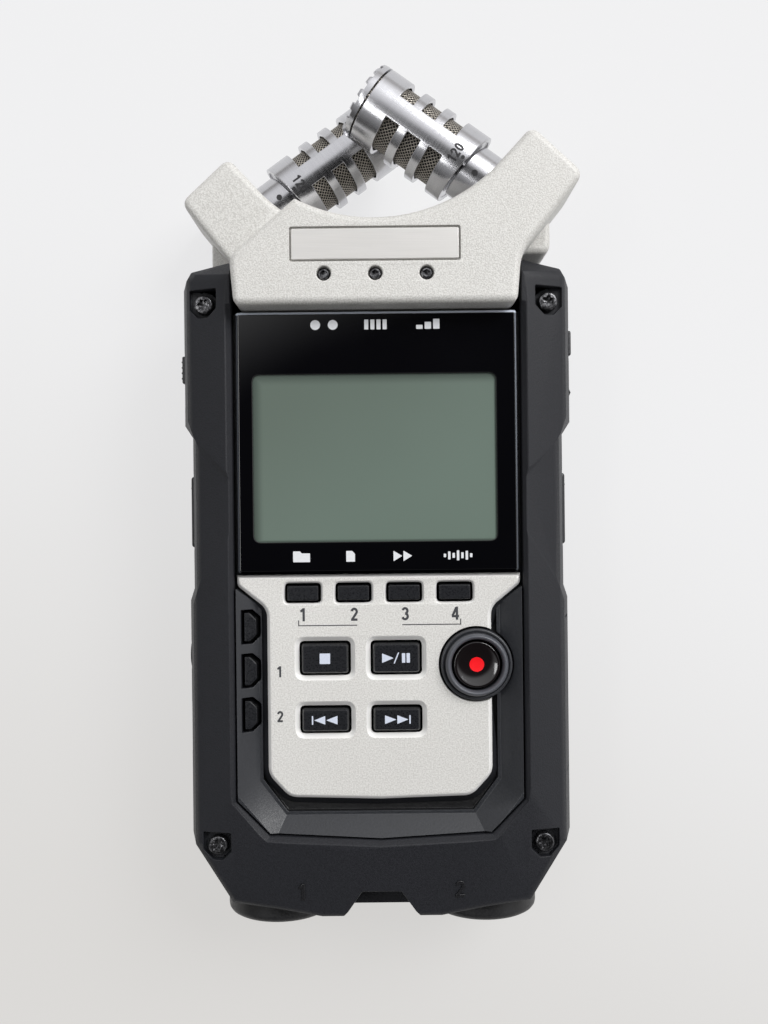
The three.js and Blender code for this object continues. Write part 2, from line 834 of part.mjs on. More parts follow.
// Each key's outline shrinks by the given clearance inside its pocket.
function keyOutline(x, y, wide, tall) {
  return (shrink) => rounded(rectangle(x, y, wide - 2 * shrink, tall - 2 * shrink), keyRound - shrink / 2);
}
const panelKeys = [
  { name: "stop_key", chamfer: keyChamfer, outline: keyOutline(keyLeftX, upperKeyY, bigKeyWide, bigKeyTall) },
  { name: "play_key", chamfer: keyChamfer, outline: keyOutline(keyRightX, upperKeyY, bigKeyWide, bigKeyTall) },
  { name: "rewind_key", chamfer: keyChamfer, outline: keyOutline(keyLeftX, lowerKeyY, bigKeyWide, lowKeyTall) },
  { name: "forward_key", chamfer: keyChamfer, outline: keyOutline(keyRightX, lowerKeyY, bigKeyWide, lowKeyTall) },
];
for (let i = 0; i < functionKeyCount; i++) {
  const x = (i - (functionKeyCount - 1) / 2) * functionKeyPitch;
  panelKeys.push({
    name: `function_key_${i + 1}`,
    chamfer: functionKeyChamfer,
    outline: keyOutline(x, functionKeyY, functionKeyWide, functionKeyTall),
  });
}

function inputOutline(y) {
  return (shrink) => {
    const [w, t] = [inputKeyWide / 2 - shrink, inputKeyTall / 2 - shrink];
    const c = inputKeyChamfer;
    return [
      [inputKeyX - w, y - t],
      [inputKeyX + w - c, y - t],
      [inputKeyX + w, y - t + c],
      [inputKeyX + w, y + t - c],
      [inputKeyX + w - c, y + t],
      [inputKeyX - w, y + t],
    ];
  };
}
const inputKeys = ["input_key_mic", "input_key_1", "input_key_2"].map((name, i) => ({
  name,
  outline: inputOutline(inputKeyTopY - i * inputKeyPitch),
}));

// Plan of the panel, grown at its sides and foot.
function panelOutline(grow) {
  const half = [
    [0, panelFootY - grow],
    [panelChinHalf + grow / 2, panelChinY - grow],
    [panelHalf + grow, panelCornerY - grow / 2],
    [panelHalf + grow, panelNeckY - grow],
    [panelTopHalf + grow, panelEarY - grow],
    [panelTopHalf + grow, panelTopY],
  ];
  return mirrored(half).slice(0, -1);
}

function controlPanel() {
  const outline = panelOutline(0);
  const below = panelZ - panelThick;
  const sheet = softPlate(outline, below - panelEdge, panelZ, panelEdge, 1);
  const trim = block(-cutterSpan, cutterSpan, -cutterSpan, cutterSpan, below - overrun, below);
  const pockets = panelKeys.flatMap(({ outline: pocket, chamfer }) => [
    plate(pocket(0), below - overrun, panelZ + overrun),
    loft([
      { z: panelZ - chamfer, points: pocket(0) },
      { z: panelZ + chamfer, points: pocket(-2 * chamfer) },
    ]),
  ]);
  const ringRoom = post(ringOuter + gap, recordX, recordY, below - overrun, panelZ + overrun);
  return cut(sheet, [trim, ringRoom, ...pockets]);
}

function keyCap(outline, top, edge) {
  const cap = softPlate(outline(gap), keyFootZ - edge, top, edge, 1);
  const trim = block(-cutterSpan, cutterSpan, -cutterSpan, cutterSpan, keyFootZ - overrun, keyFootZ);
  return cap.subtract(trim);
}

function recordRing() {
  const foot = moatZ + gap;
  return turned([
    [ringInner, foot],
    [ringOuter, foot],
    [ringOuter, ringShoulderZ],
    [(ringOuter + ringCrest) / 2, ringCrestZ - gap],
    [ringCrest, ringCrestZ],
    [(ringInner + ringCrest) / 2, ringCrestZ - gap],
    [ringInner, ringShoulderZ],
    [ringInner, foot],
  ]);
}

function recordKey() {
  const radius = ringInner - gap;
  return turned([
    [0, keyFootZ],
    [radius, keyFootZ],
    [radius, recordKeyZ - gap],
    [radius - gap, recordKeyZ],
    [radius / 2, recordKeyZ - gap],
    [0, recordKeyZ - recordKeyDish],
  ]);
}

function displayWindow() {
  const outline = rectangle(0, (glassTopY + glassFootY) / 2, 2 * glassHalf, glassTopY - glassFootY);
  const pane = softPlate(outline, glassZ - glassThick - gap, glassZ, gap, 1);
  return pane.subtract(
    block(-cutterSpan, cutterSpan, -cutterSpan, cutterSpan, glassZ - glassThick - overrun, glassZ - glassThick),
  );
}

function lcdModule() {
  const foot = wellUnderZ + wellFloor + gap;
  return block(lcdLeftX, lcdRightX, lcdFootY, lcdTopY, foot, foot + lcdThick);
}

// Plan of the front half of the head, whose arm is on the right.
function headOutline() {
  const dipEnd = radians(dipEndAngle);
  const dipStart = -Math.PI + Math.acos(-dipStartX / dipRadius);
  const dip = [];
  for (let i = 0; i <= dipSteps; i++) {
    const angle = dipStart + ((dipEnd - dipStart) * i) / dipSteps;
    dip.push([dipRadius * Math.cos(angle), dipCentreY + dipRadius * Math.sin(angle)]);
  }
  const outline = [
    [-headSideHalf, headSideY],
    ...dip,
    [armTopX, armTopY],
    [armTipX, armTipY],
    [headSideHalf, headSideY],
    [headFootHalf, headFootY],
    [-headFootHalf, headFootY],
  ];
  return rounded(outline.reverse(), headCorner, edgeSteps);
}

// Everything beyond the other half's slanted shoulder, where the arm may pass the middle plane.
function armZone() {
  const reach = cutterSpan;
  const dipStart = -Math.PI + Math.acos(-dipStartX / dipRadius);
  const edgeY = dipCentreY + dipRadius * Math.sin(dipStart);
  const start = [headSideHalf + 2 * gap, headSideY];
  const end = [-dipStartX + 2 * gap, edgeY + gap];
  const top = reach + edgeY;
  const outline = [start, [reach, headSideY], [reach, top], [end[0], top], end];
  return plate(outline, 0, headMidZ + headHalfDepth);
}

// Along the microphone's axis, with the seam at the origin, turned into the head's place.
function micMatrix() {
  const angle = radians(barrelAngle);
  const along = new THREE.Vector3(-Math.cos(angle), Math.sin(angle), 0);
  const out = new THREE.Vector3(0, 0, 1);
  const across = new THREE.Vector3().crossVectors(along, out);
  return new THREE.Matrix4()
    .makeBasis(out, across, along)
    .setPosition(micSeamX, micSeamY, headMidZ + micOffset);
}

// Ledge that fills in below an arm.
function neckBlock(lowX, highX, lowZ, highZ) {
  const outline = [[lowX, neckFootY], [highX, neckFootY], [highX, neckTopY], [lowX, neckTopY]];
  return softPlate(rounded(outline, neckCorner), lowZ, highZ, neckEdge, edgeSteps);
}

// The front half, or the same moulding turned round to make the rear half, with what one of them adds.
function headHalf(extras) {
  const top = headMidZ + headHalfDepth;
  const low = headMidZ + micOffset - armReach;
  const outline = headOutline();
  const whole = joined([softPlate(outline, low - 2 * headEdge, top, headEdge, edgeSteps), ...extras]);
  const kept = cut(whole, [block(-cutterSpan, cutterSpan, 0, 2 * cutterSpan, 0, headMidZ + gap / 2)]);
  const arm = cut(whole, [block(-cutterSpan, cutterSpan, 0, 2 * cutterSpan, 0, low)]).intersect(armZone());
  const solidHalf = kept.add(arm);
  const room = plate(
    [
      [-headFootHalf + headWall, headFootY + headWall],
      [headFootHalf - headWall, headFootY + headWall],
      [headFootHalf - headWall, headSideY],
      [0, dipCentreY - dipRadius - headWall],
      [-headFootHalf + headWall, headSideY - headWall],
    ],
    0,
    top - headWall,
  );
  const screwPlaces = headScrewPlaces();
  const bosses = screwPlaces.map((x) => {
    return post(headBossRadius, x, headScrewY, headMidZ + gap / 2, top - gap, smallSides);
  });
  const shell = cut(solidHalf, [room]).add(solidHalf.intersect(joined(bosses)));
  const boreDeep = stemVisible + stemSeat + gap;
  const bore = solid(
    new THREE.CylinderGeometry(stemRadius + gap, stemRadius + gap, boreDeep + overrun, roundSides)
      .rotateX(Math.PI / 2)
      .translate(0, 0, (overrun - boreDeep) / 2)
      .applyMatrix4(micMatrix()),
  );
  return shell.subtract(bore);
}

function headScrewPlaces() {
  const places = [];
  for (let i = 0; i < headScrewCount; i++) {
    places.push((i - (headScrewCount - 1) / 2) * headScrewPitch);
  }
  return places;
}

function headFront() {
  const top = headMidZ + headHalfDepth;
  const recessOutline = rectangle(0, plateY, plateWide + 2 * gap, plateTall + 2 * gap);
  const recess = plate(recessOutline, top - plateDeep, top + overrun);
  const holes = headScrewPlaces().flatMap((x) => [
    post(headScrewBore, x, headScrewY, top - headScrewSink - headScrewHead - gap, top + overrun, smallSides),
    post(headScrewShank + gap, x, headScrewY, 0, top, smallSides),
  ]);
  const neck = neckBlock(neckInnerX, neckHalf, neckSplitZ + gap, neckHighZ);
  return cut(headHalf([neck]), [recess, ...holes]);
}

function headRear() {
  const turnedHalf = headHalf([]).translate([0, 0, -headMidZ]).rotate([0, 180, 0]).translate([0, 0, headMidZ]);
  const leftNeck = neckBlock(-neckHalf, 0, neckLowZ, neckLeftZ);
  const rightNeck = neckBlock(-neckInnerX, neckHalf, neckLowZ, neckSplitZ);
  const neck = leftNeck.add(rightNeck);
  const armRoom = solid(
    new THREE.CylinderGeometry(barrelRadius + gap, barrelRadius + gap, cutterSpan, roundSides)
      .rotateX(Math.PI / 2)
      .translate(0, 0, cutterSpan / 2)
      .applyMatrix4(micMatrix()),
  );
  const dipRoom = post(dipRadius, 0, dipCentreY, 0, cutterSpan);
  const leftRoom = solid(
    new THREE.CylinderGeometry(stemRadius + gap, stemRadius + gap, cutterSpan, roundSides)
      .rotateX(Math.PI / 2)
      .translate(0, 0, (cutterSpan / 2) - stemVisible - stemSeat - gap)
      .applyMatrix4(micMatrix())
      .translate(0, 0, -headMidZ)
      .rotateY(Math.PI)
      .translate(0, 0, headMidZ),
  );
  const holeFoot = headMidZ + headHalfDepth - headScrewSink - headScrewLength - gap;
  const holes = headScrewPlaces().map((x) => {
    return post(headScrewShank + gap, x, headScrewY, holeFoot, cutterSpan, smallSides);
  });
  return cut(turnedHalf.add(neck.subtract(dipRoom)), [armRoom, leftRoom, ...holes]);
}

function headScrew(x) {
  const top = headMidZ + headHalfDepth - headScrewSink;
  const head = post(headScrewRadius, x, headScrewY, top - headScrewHead, top, smallSides);
  const shank = post(headScrewShank, x, headScrewY, top - headScrewLength, top - headScrewHead / 2, smallSides);
  const socket = post(headScrewRadius / 2, x, headScrewY, top - headScrewHead / 2, top + overrun, hexSides);
  return head.add(shank).subtract(socket);
}

// Half space behind the seam plane of a microphone, which is square to its swivel axis.
function behindSeam(offset) {
  const made = new THREE.BoxGeometry(cutterSpan, cutterSpan, cutterSpan);
  return solid(made.translate(0, 0, offset - cutterSpan / 2).rotateX(-radians(swivelTilt)));
}
function pivot(radius, low, high) {
  const made = new THREE.CylinderGeometry(radius, radius, high - low, smallSides);
  return solid(made.rotateX(Math.PI / 2).translate(0, 0, (low + high) / 2).rotateX(-radians(swivelTilt)));
}

const sleeveRadius = barrelRadius - barrelWall - gap;
const slotHalf = 90 - spineHalfAngle;
function slotCutter(low, turn) {
  const shape = new THREE.Shape();
  const [start, end] = [radians(90 - slotHalf), radians(90 + slotHalf)];
  shape.absarc(0, 0, barrelRadius + overrun, start, end, false);
  shape.absarc(0, 0, sleeveRadius, end, start, true);
  const options = { depth: slotWidth, bevelEnabled: false, curveSegments: roundSides / 2 };
  const made = new THREE.ExtrudeGeometry(shape, options);
  return solid(made.translate(0, 0, low).rotateZ(turn));
}

function micBarrel() {
  const tube = post(barrelRadius, 0, 0, -overrun, barrelLength);
  const bore = post(barrelRadius - barrelWall, 0, 0, barrelRear, barrelLength + overrun);
  const cutters = [bore, behindSeam(gap / 2), pivot(pivotRadius + gap, -overrun, barrelRear + overrun)];
  for (let i = 0; i < slotRows; i++) {
    const low = barrelLength - slotFromFront - slotWidth - i * slotPitch;
    cutters.push(slotCutter(low, 0), slotCutter(low, Math.PI));
  }
  return cut(tube, cutters);
}

function micMesh() {
  const foot = barrelRear + gap;
  const top = barrelLength + gap + capRing;
  return turned([
    [0, top],
    [sleeveRadius, top],
    [sleeveRadius, foot],
    [sleeveRadius - sleeveWall, foot],
    [sleeveRadius - sleeveWall, top - sleeveWall],
    [0, top - sleeveWall],
  ]);
}

function micCap() {
  const foot = barrelLength + gap;
  const rim = foot + capRing;
  const top = rim + capTooth;
  const ring = turned(
    [
      [sleeveRadius + gap, foot],
      [barrelRadius, foot],
      [barrelRadius, rim],
      [barrelRadius - capStep, top],
      [sleeveRadius + gap, top],
      [sleeveRadius + gap, foot],
    ],
    2 * capToothCount,
  );
  const cutters = [];
  for (let i = 0; i < capToothCount; i++) {
    const made = new THREE.BoxGeometry(2 * overrun, capToothGap, 2 * capTooth);
    cutters.push(solid(made.translate(barrelRadius, 0, top).rotateZ((2 * Math.PI * i) / capToothCount)));
  }
  return cut(ring, cutters);
}

function micCapsule() {
  const top = barrelLength - capsuleSink;
  return post(sleeveRadius - sleeveWall - gap, 0, 0, top - capsuleLength, top, roundSides / 2);
}

function micStem() {
  const bar = post(stemRadius, 0, 0, -stemVisible - stemSeat, overrun);
  const flange = cut(bar, [frontOfSeam()]);
  return flange.add(pivot(pivotRadius, -overrun, pivotLength));
}
function frontOfSeam() {
  const made = new THREE.BoxGeometry(cutterSpan, cutterSpan, cutterSpan);
  return solid(made.translate(0, 0, cutterSpan / 2 - gap / 2).rotateX(-radians(swivelTilt)));
}

function frameScrew(x, y) {
  const foot = screwPocketZ + gap;
  const head = post(screwHeadRadius, x, y, foot, screwHeadZ, roundSides / 2);
  const shank = post(screwShank, x, y, screwTipZ, foot + gap, smallSides);
  const star = [];
  for (let i = 0; i < 2 * starPoints; i++) {
    const radius = i % 2 ? starRadius * starShare : starRadius;
    const angle = (Math.PI * i) / starPoints;
    star.push([x + radius * Math.cos(angle), y + radius * Math.sin(angle)]);
  }
  return head.add(shank).subtract(plate(star, screwHeadZ - starDeep, screwHeadZ + overrun));
}

function comboJack(side) {
  const x = side * jackX;
  const inner = jackRimY + jackLength;
  const rim = turned([
    [0, 0],
    [jackRimRadius - jackRimChamfer, 0],
    [jackRimRadius, jackRimChamfer],
    [jackRimRadius, jackRimLength],
    [0, jackRimLength],
  ]).rotate([-90, 0, 0]).translate([x, jackRimY, jackZ]);
  const body = barAlongY(jackBodyRadius, x, jackZ, jackRimY + jackRimLength / 2, inner);
  const bore = barAlongY(jackBore, x, jackZ, jackRimY - overrun, jackRimY + jackBoreDeep);
  const core = barAlongY(jackCore, x, jackZ, jackRimY + jackCoreSink, jackRimY + jackLength / 2);
  const plug = barAlongY(plugBore, x, jackZ, jackRimY - overrun, jackRimY + plugDeep, roundSides / 2);
  return cut(cut(rim.add(body), [bore]).add(core), [plug]);
}

function jackLatch(side) {
  const x = side * jackX;
  const face = footY + browFootInset + seamInset;
  const [low, high] = [face - latchProud, face + latchLength - latchProud];
  return block(x - latchWide / 2, x + latchWide / 2, low, high, latchZ, latchZ + latchThick - gap);
}

function tripodBush() {
  const disc = post(bushFlange, 0, bushY, 0, coverFloor - gap);
  const sleeve = post(bushRadius, 0, bushY, 0, bushHeight);
  const bore = post(bushBore, 0, bushY, -overrun, bushDeep, roundSides / 2);
  return disc.add(sleeve).subtract(bore);
}

function speaker() {
  return post(speakerRadius, speakerX, speakerY, coverFloor + gap, coverFloor + gap + speakerHeight);
}

function micInSocket() {
  const can = post(micInRadius, micInX, micInY, 0, micInHeight, roundSides / 2);
  return can.subtract(post(miniBore, micInX, micInY, -overrun, miniDeep, smallSides));
}

function phonesSocket() {
  const face = -wallHalf(phonesY);
  const phonesLong = socketRoom(phonesY) * phonesShare;
  const collar = barAlongX(phonesRadius, phonesY, sideZ, face, face + phonesLong, roundSides / 2);
  const inner = face + shellWall + gap;
  const half = phonesCube / 2;
  const can = block(inner, inner + phonesLong, phonesY - half, phonesY + half, sideZ - half, sideZ + half);
  const bore = barAlongX(miniBore, phonesY, sideZ, face - overrun, face + phonesLong, smallSides);
  return collar.add(can).subtract(bore);
}

function usbSocket() {
  const face = -wallHalf(usbY) + gap;
  const [w, t] = [usbWide / 2, usbTall / 2];
  const usbLong = socketRoom(usbY) * usbShare;
  const shell = block(face, face + usbLong, usbY - w, usbY + w, sideZ - t, sideZ + t);
  const [iw, it] = [w - usbShell, t - usbShell];
  const room = block(face - overrun, face + usbLong - usbBack, usbY - iw, usbY + iw, sideZ - it, sideZ + it);
  const tongue = block(
    face + gap, face + usbLong, usbY - w / 2, usbY + w / 2, sideZ - usbTongue / 2, sideZ + usbTongue / 2,
  );
  return shell.subtract(room).add(tongue);
}

function dcSocket() {
  const face = footY + dcSink + seamInset;
  const low = coverFloor + gap;
  const can = block(-dcWide / 2, dcWide / 2, face, face + dcLong, low, low + dcTall);
  const bore = barAlongY(dcBore, 0, low + dcTall / 2, face - overrun, face + dcDeep, roundSides / 2);
  return can.subtract(bore);
}

// Key or rocker that stands in a side window with its face just proud of the wall.
function sideKey(side, y, long, deep, proud) {
  const outer = wallHalf(y) + proud;
  const [low, high] = side > 0 ? [outer - deep, outer] : [-outer, -outer + deep];
  const half = sideTall / 2 - gap;
  return block(low, high, y - long / 2, y + long / 2, sideZ - half, sideZ + half);
}

function powerSwitch() {
  const y = powerY + powerTravel / 2;
  const knob = sideKey(-1, y, powerKnobLong, sideProud + seamInset + shellWall + 2 * gap, sideProud);
  const inner = -wallHalf(powerY) + seamInset + shellWall + gap;
  const [half, tall] = [powerBaseLong / 2, sideTall / 2];
  const base = block(inner, inner + powerBaseDeep, y - half, y + half, sideZ - tall, sideZ + tall);
  return knob.add(base);
}

function scrollWheel() {
  const top = sideZ + wheelThick / 2;
  const low = sideZ - wheelThick / 2;
  const outline = [];
  for (let i = 0; i < 2 * wheelRibs; i++) {
    const radius = i % 2 ? wheelRadius - wheelRibDeep : wheelRadius;
    const angle = (Math.PI * i) / wheelRibs;
    outline.push([wheelX + radius * Math.cos(angle), wheelY + radius * Math.sin(angle)]);
  }
  const bore = post(wheelShaft + gap, wheelX, wheelY, low - overrun, top + overrun, smallSides);
  return plate(outline, low, top).subtract(bore);
}

function cardDoor() {
  const wall = frameSkin(0).subtract(frameSkin(cardDoorThick));
  return wall.intersect(sideWindow(1, cardY, cardDoorLong, cardDoorTall, cardZ));
}

function memoryCard() {
  const outer = wallHalf(cardY) - browSideInset - cardDoorThick - gap;
  const outline = [
    [outer - cardLong, cardY - cardWide / 2],
    [outer, cardY - cardWide / 2],
    [outer, cardY + cardWide / 2],
    [outer - cardLong + cardCorner, cardY + cardWide / 2],
    [outer - cardLong, cardY + cardWide / 2 - cardCorner],
  ];
  return plate(outline, cardZ - cardThick / 2, cardZ + cardThick / 2);
}

function namePlate() {
  const low = headMidZ + headHalfDepth - plateDeep + gap / 2;
  return plate(rectangle(0, plateY, plateWide, plateTall), low, low + plateThick);
}

const rubber = new THREE.MeshStandardMaterial({ color: 0x323338, roughness: 0.72, metalness: 0 });
const darkPlastic = new THREE.MeshStandardMaterial({ color: 0x3a3c42, roughness: 0.5, metalness: 0 });
const keyPlastic = new THREE.MeshStandardMaterial({ color: 0x2b2a2f, roughness: 0.45, metalness: 0 });
const silverPaint = new THREE.MeshStandardMaterial({ color: 0xdbdad6, roughness: 0.45, metalness: 0.3 });
const panelPaint = new THREE.MeshStandardMaterial({ color: 0xd8d6d2, roughness: 0.4, metalness: 0.4 });
const glass = new THREE.MeshStandardMaterial({ color: 0x040507, roughness: 0.05, metalness: 0 });
const screen = new THREE.MeshStandardMaterial({ color: 0x66766c, roughness: 0.4, metalness: 0 });
const aluminium = new THREE.MeshStandardMaterial({ color: 0xb9bbbd, roughness: 0.3, metalness: 1 });
const wireMesh = new THREE.MeshStandardMaterial({ color: 0x8a857c, roughness: 0.4, metalness: 1 });
const blackSteel = new THREE.MeshStandardMaterial({ color: 0x1a1a1c, roughness: 0.35, metalness: 0.8 });
const glossBlack = new THREE.MeshStandardMaterial({ color: 0x141213, roughness: 0.08, metalness: 0 });
const brass = new THREE.MeshStandardMaterial({ color: 0xb89a5a, roughness: 0.35, metalness: 1 });
const circuit = new THREE.MeshStandardMaterial({ color: 0x1f4a30, roughness: 0.6, metalness: 0 });
const cellWrap = new THREE.MeshStandardMaterial({ color: 0x30333a, roughness: 0.4, metalness: 0.2 });

const recorder = new THREE.Group();
function place(name, made, material, parent = recorder) {
  const mesh = new THREE.Mesh(geometryOf(made), material);
  mesh.name = name;
  parent.add(mesh);
}

place("outer_frame", outerFrame(), rubber);
place("rear_cover", rearCover(), rubber);
place("front_deck", frontDeck(), darkPlastic);
place("control_panel", controlPanel(), panelPaint);
place("display_window", displayWindow(), glass);
place("lcd_module", lcdModule(), screen);
place("main_board", mainBoard(), circuit);
place("battery_door", batteryDoor(), rubber);
place("battery_1", battery(-1), cellWrap);
place("battery_2", battery(1), cellWrap);

panelKeys.forEach(({ name, outline }) => {
  place(name, keyCap(outline, panelZ + keyRise, gap), keyPlastic);
});
inputKeys.forEach(({ name, outline }) => {
  place(name, keyCap(outline, inputKeyZ, gap), keyPlastic);
});
const recordGroup = new THREE.Group();
recordGroup.position.set(recordX, recordY, 0);
recorder.add(recordGroup);
place("record_ring", recordRing(), darkPlastic, recordGroup);
place("record_key", recordKey(), glossBlack, recordGroup);

place("head_front", headFront(), silverPaint);
place("head_rear", headRear(), silverPaint);
place("name_plate", namePlate(), aluminium);
headScrewPlaces().forEach((x, i) => {
  place(`head_screw_${i + 1}`, headScrew(x), blackSteel);
});
frameScrews.forEach(([corner, x, y]) => {
  place(`frame_screw_${corner}`, frameScrew(x, y), blackSteel);
});

// The right microphone, and the same parts turned round the Y axis for the left one.
const micPieces = [
  ["mic_barrel", micBarrel(), aluminium],
  ["mic_mesh", micMesh(), wireMesh],
  ["mic_cap", micCap(), aluminium],
  ["mic_capsule", micCapsule(), blackSteel],
  ["mic_stem", micStem(), aluminium],
];
["right", "left"].forEach((side, i) => {
  const turn = new THREE.Group();
  turn.position.z = headMidZ;
  turn.rotation.y = i * Math.PI;
  const microphone = new THREE.Group();
  microphone.applyMatrix4(micMatrix());
  microphone.position.z -= headMidZ;
  turn.add(microphone);
  recorder.add(turn);
  micPieces.forEach(([name, made, material]) => {
    place(`${name}_${side}`, made, material, microphone);
  });
});

jackSides.forEach((side, i) => {
  place(`combo_jack_${i + 1}`, comboJack(side), darkPlastic);
  place(`jack_latch_${i + 1}`, jackLatch(side), keyPlastic);
});
place("tripod_bush", tripodBush(), brass);
place("speaker", speaker(), blackSteel);
place("mic_in_socket", micInSocket(), darkPlastic);
place("headphone_socket", phonesSocket(), darkPlastic);
place("usb_socket", usbSocket(), aluminium);
place("dc_socket", dcSocket(), darkPlastic);
place("power_switch", powerSwitch(), keyPlastic);
place("volume_rocker", sideKey(-1, rockerY, rockerLength, rockerDeep, sideProud), keyPlastic);
place("level_rocker", sideKey(1, rockerY, rockerLength, rockerDeep, sideProud), keyPlastic);
place("scroll_wheel", scrollWheel(), keyPlastic);
place("menu_key", sideKey(1, menuY, menuLong, menuDeep, sideProud), keyPlastic);
place("card_door", cardDoor(), rubber);
place("memory_card", memoryCard(), keyPlastic);

export default recorder;
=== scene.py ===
"""Looks of a handheld audio recorder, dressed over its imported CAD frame. Sizes are in millimetres."""
import math

import bmesh
import bpy
import numpy as np
from mathutils import Matrix, Vector
from mathutils.bvhtree import BVHTree
from mathutils.geometry import tessellate_polygon


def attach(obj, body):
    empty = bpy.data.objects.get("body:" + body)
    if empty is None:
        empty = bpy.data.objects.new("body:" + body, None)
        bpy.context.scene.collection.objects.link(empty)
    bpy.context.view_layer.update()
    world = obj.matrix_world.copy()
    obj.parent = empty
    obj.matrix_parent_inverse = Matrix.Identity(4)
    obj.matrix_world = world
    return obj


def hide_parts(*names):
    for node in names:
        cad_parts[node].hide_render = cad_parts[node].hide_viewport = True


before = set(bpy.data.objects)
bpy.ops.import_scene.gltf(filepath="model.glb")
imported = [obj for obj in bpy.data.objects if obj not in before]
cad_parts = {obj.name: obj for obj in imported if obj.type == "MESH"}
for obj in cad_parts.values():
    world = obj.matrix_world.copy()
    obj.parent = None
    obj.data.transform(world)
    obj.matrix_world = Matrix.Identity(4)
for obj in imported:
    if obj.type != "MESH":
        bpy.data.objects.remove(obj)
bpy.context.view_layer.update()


# Outer frame
# The thick front moulding that runs round the recorder, with its screw pockets and side windows.
# It is hard plastic coated with soft-touch rubber: almost black, fine in grain and dull.
class Signal:
    """A number that varies over a surface. Each sum on it adds one Math node."""

    def __init__(self, finish, socket):
        self.finish, self.socket = finish, socket

    def output(self, name):
        """Another output of the node that this one comes from."""
        return Signal(self.finish, self.socket.node.outputs[name])

    def __add__(self, other):
        return self.finish.math("ADD", self, other)

    def __sub__(self, other):
        return self.finish.math("SUBTRACT", self, other)

    def __rsub__(self, other):
        return self.finish.math("SUBTRACT", other, self)

    def __mul__(self, other):
        return self.finish.math("MULTIPLY", self, other)

    __radd__, __rmul__ = __add__, __mul__


class Nodes:
    """A tree of shader nodes, and the ways to add to it."""

    def __init__(self, tree):
        self.tree = tree

    def add(self, kind, settings, inputs, output=0):
        """Adds a node: its settings first, then a value or a link for each of its sockets."""
        node = self.tree.nodes.new(kind)
        for key, value in settings.items():
            setattr(node, key, value)
        for key, value in inputs.items():
            self.feed(node.inputs[key], value)
        return Signal(self, node.outputs[output])

    def feed(self, socket, value):
        """Links a signal to a socket, or sets its value."""
        if isinstance(value, Signal):
            self.tree.links.new(value.socket, socket)
        else:
            socket.default_value = value

    def math(self, operation, *values):
        """One Math node on one or two values."""
        return self.add("ShaderNodeMath", {"operation": operation}, dict(enumerate(values)))

    def least(self, *signals):
        """The smallest of some signals at each spot."""
        smallest = signals[0]
        for signal in signals[1:]:
            smallest = self.math("MINIMUM", smallest, signal)
        return smallest

    def band(self, value, low, high, first=0.0, last=1.0):
        """Runs smoothly from first to last as value goes from low to high."""
        span = {"From Min": low, "From Max": high, "To Min": first, "To Max": last}
        return self.add("ShaderNodeMapRange", {"interpolation_type": "SMOOTHSTEP"}, {"Value": value, **span})

    def blend(self, factor, first, last, how="MIX"):
        """Colour that goes from first to last with the factor."""
        settings = {"data_type": "RGBA", "clamp_factor": True, "blend_type": how}
        return self.add("ShaderNodeMix", settings, {0: factor, 6: first, 7: last}, 2)


class Finish(Nodes):
    """One material: a Principled shader whose plain values are set by name, and the nodes that vary it."""

    def __init__(self, name, slot, **plain):
        self.slot = slot
        self.material = bpy.data.materials.new(name)
        self.material.use_nodes = True
        super().__init__(self.material.node_tree)
        self.shader = self.tree.nodes["Principled BSDF"]
        for socket, value in plain.items():
            self.set(socket.replace("_", " "), value)

    def set(self, socket, value):
        """Feeds one of the shader's sockets."""
        self.feed(self.shader.inputs[socket], value)

    def place(self, size):
        """Object coordinates counted in steps of size millimetres, one size or one for each axis."""
        spot = self.add("ShaderNodeTexCoord", {}, {}, "Object")
        scale = tuple(1000 / step for step in np.broadcast_to(size, 3))
        return self.add("ShaderNodeMapping", {}, {"Vector": spot, "Scale": scale})

    def along(self, axis, size=1.0):
        """Distance along one axis, in steps of size millimetres."""
        return self.add("ShaderNodeSeparateXYZ", {}, {"Vector": self.place(size)}, axis)

    def noise(self, size, detail=2.0, spot=None):
        """Cloudy noise from 0 to 1 with patches of about size millimetres."""
        return self.add("ShaderNodeTexNoise", {},
                        {"Vector": spot or self.place(size), "Scale": 1.0, "Detail": detail})

    def speckle(self, size):
        """Crisp grain from 0 to 1 with specks of about size millimetres."""
        return self.band(self.noise(size, 3.0), 0.32, 0.68)

    def bump(self, height, depth):
        """Relief of the given depth in millimetres."""
        self.set("Normal", self.add("ShaderNodeBump", {}, {"Height": height, "Distance": depth / 1000}))

    def grade(self, low, high, below=None, above=None):
        """Changes the colour with height from low to high. The tone so far stands where one is left out."""
        tone = Signal(self, self.shader.inputs["Base Color"].links[0].from_socket)
        mask = self.band(self.along("Z"), low, high)
        self.set("Base Color", self.blend(mask, below or tone, above or tone))


def srgb(red, green, blue):
    """Colour as 0 to 255 on a screen, turned into the linear values that Blender uses."""
    screen = np.array([red, green, blue]) / 255
    linear = np.where(screen <= 0.04045, screen / 12.92, ((screen + 0.055) / 1.055) ** 2.4)
    return (*linear.tolist(), 1.0)


def moulded(name, slot, dark, light, rough, grain, relief, shine):
    """Moulded plastic or rubber: cloudy colour between two shades, and a fine grain in gloss and relief."""
    finish = Finish(name, slot, Specular_IOR_Level=shine)
    speck = finish.speckle(grain)
    cloud = finish.noise(14.0)
    finish.set("Base Color", finish.blend(cloud * 0.4 + speck * 0.6, srgb(*dark), srgb(*light)))
    finish.set("Roughness", rough - 0.06 + speck * 0.12)
    finish.bump(speck, relief)
    return finish


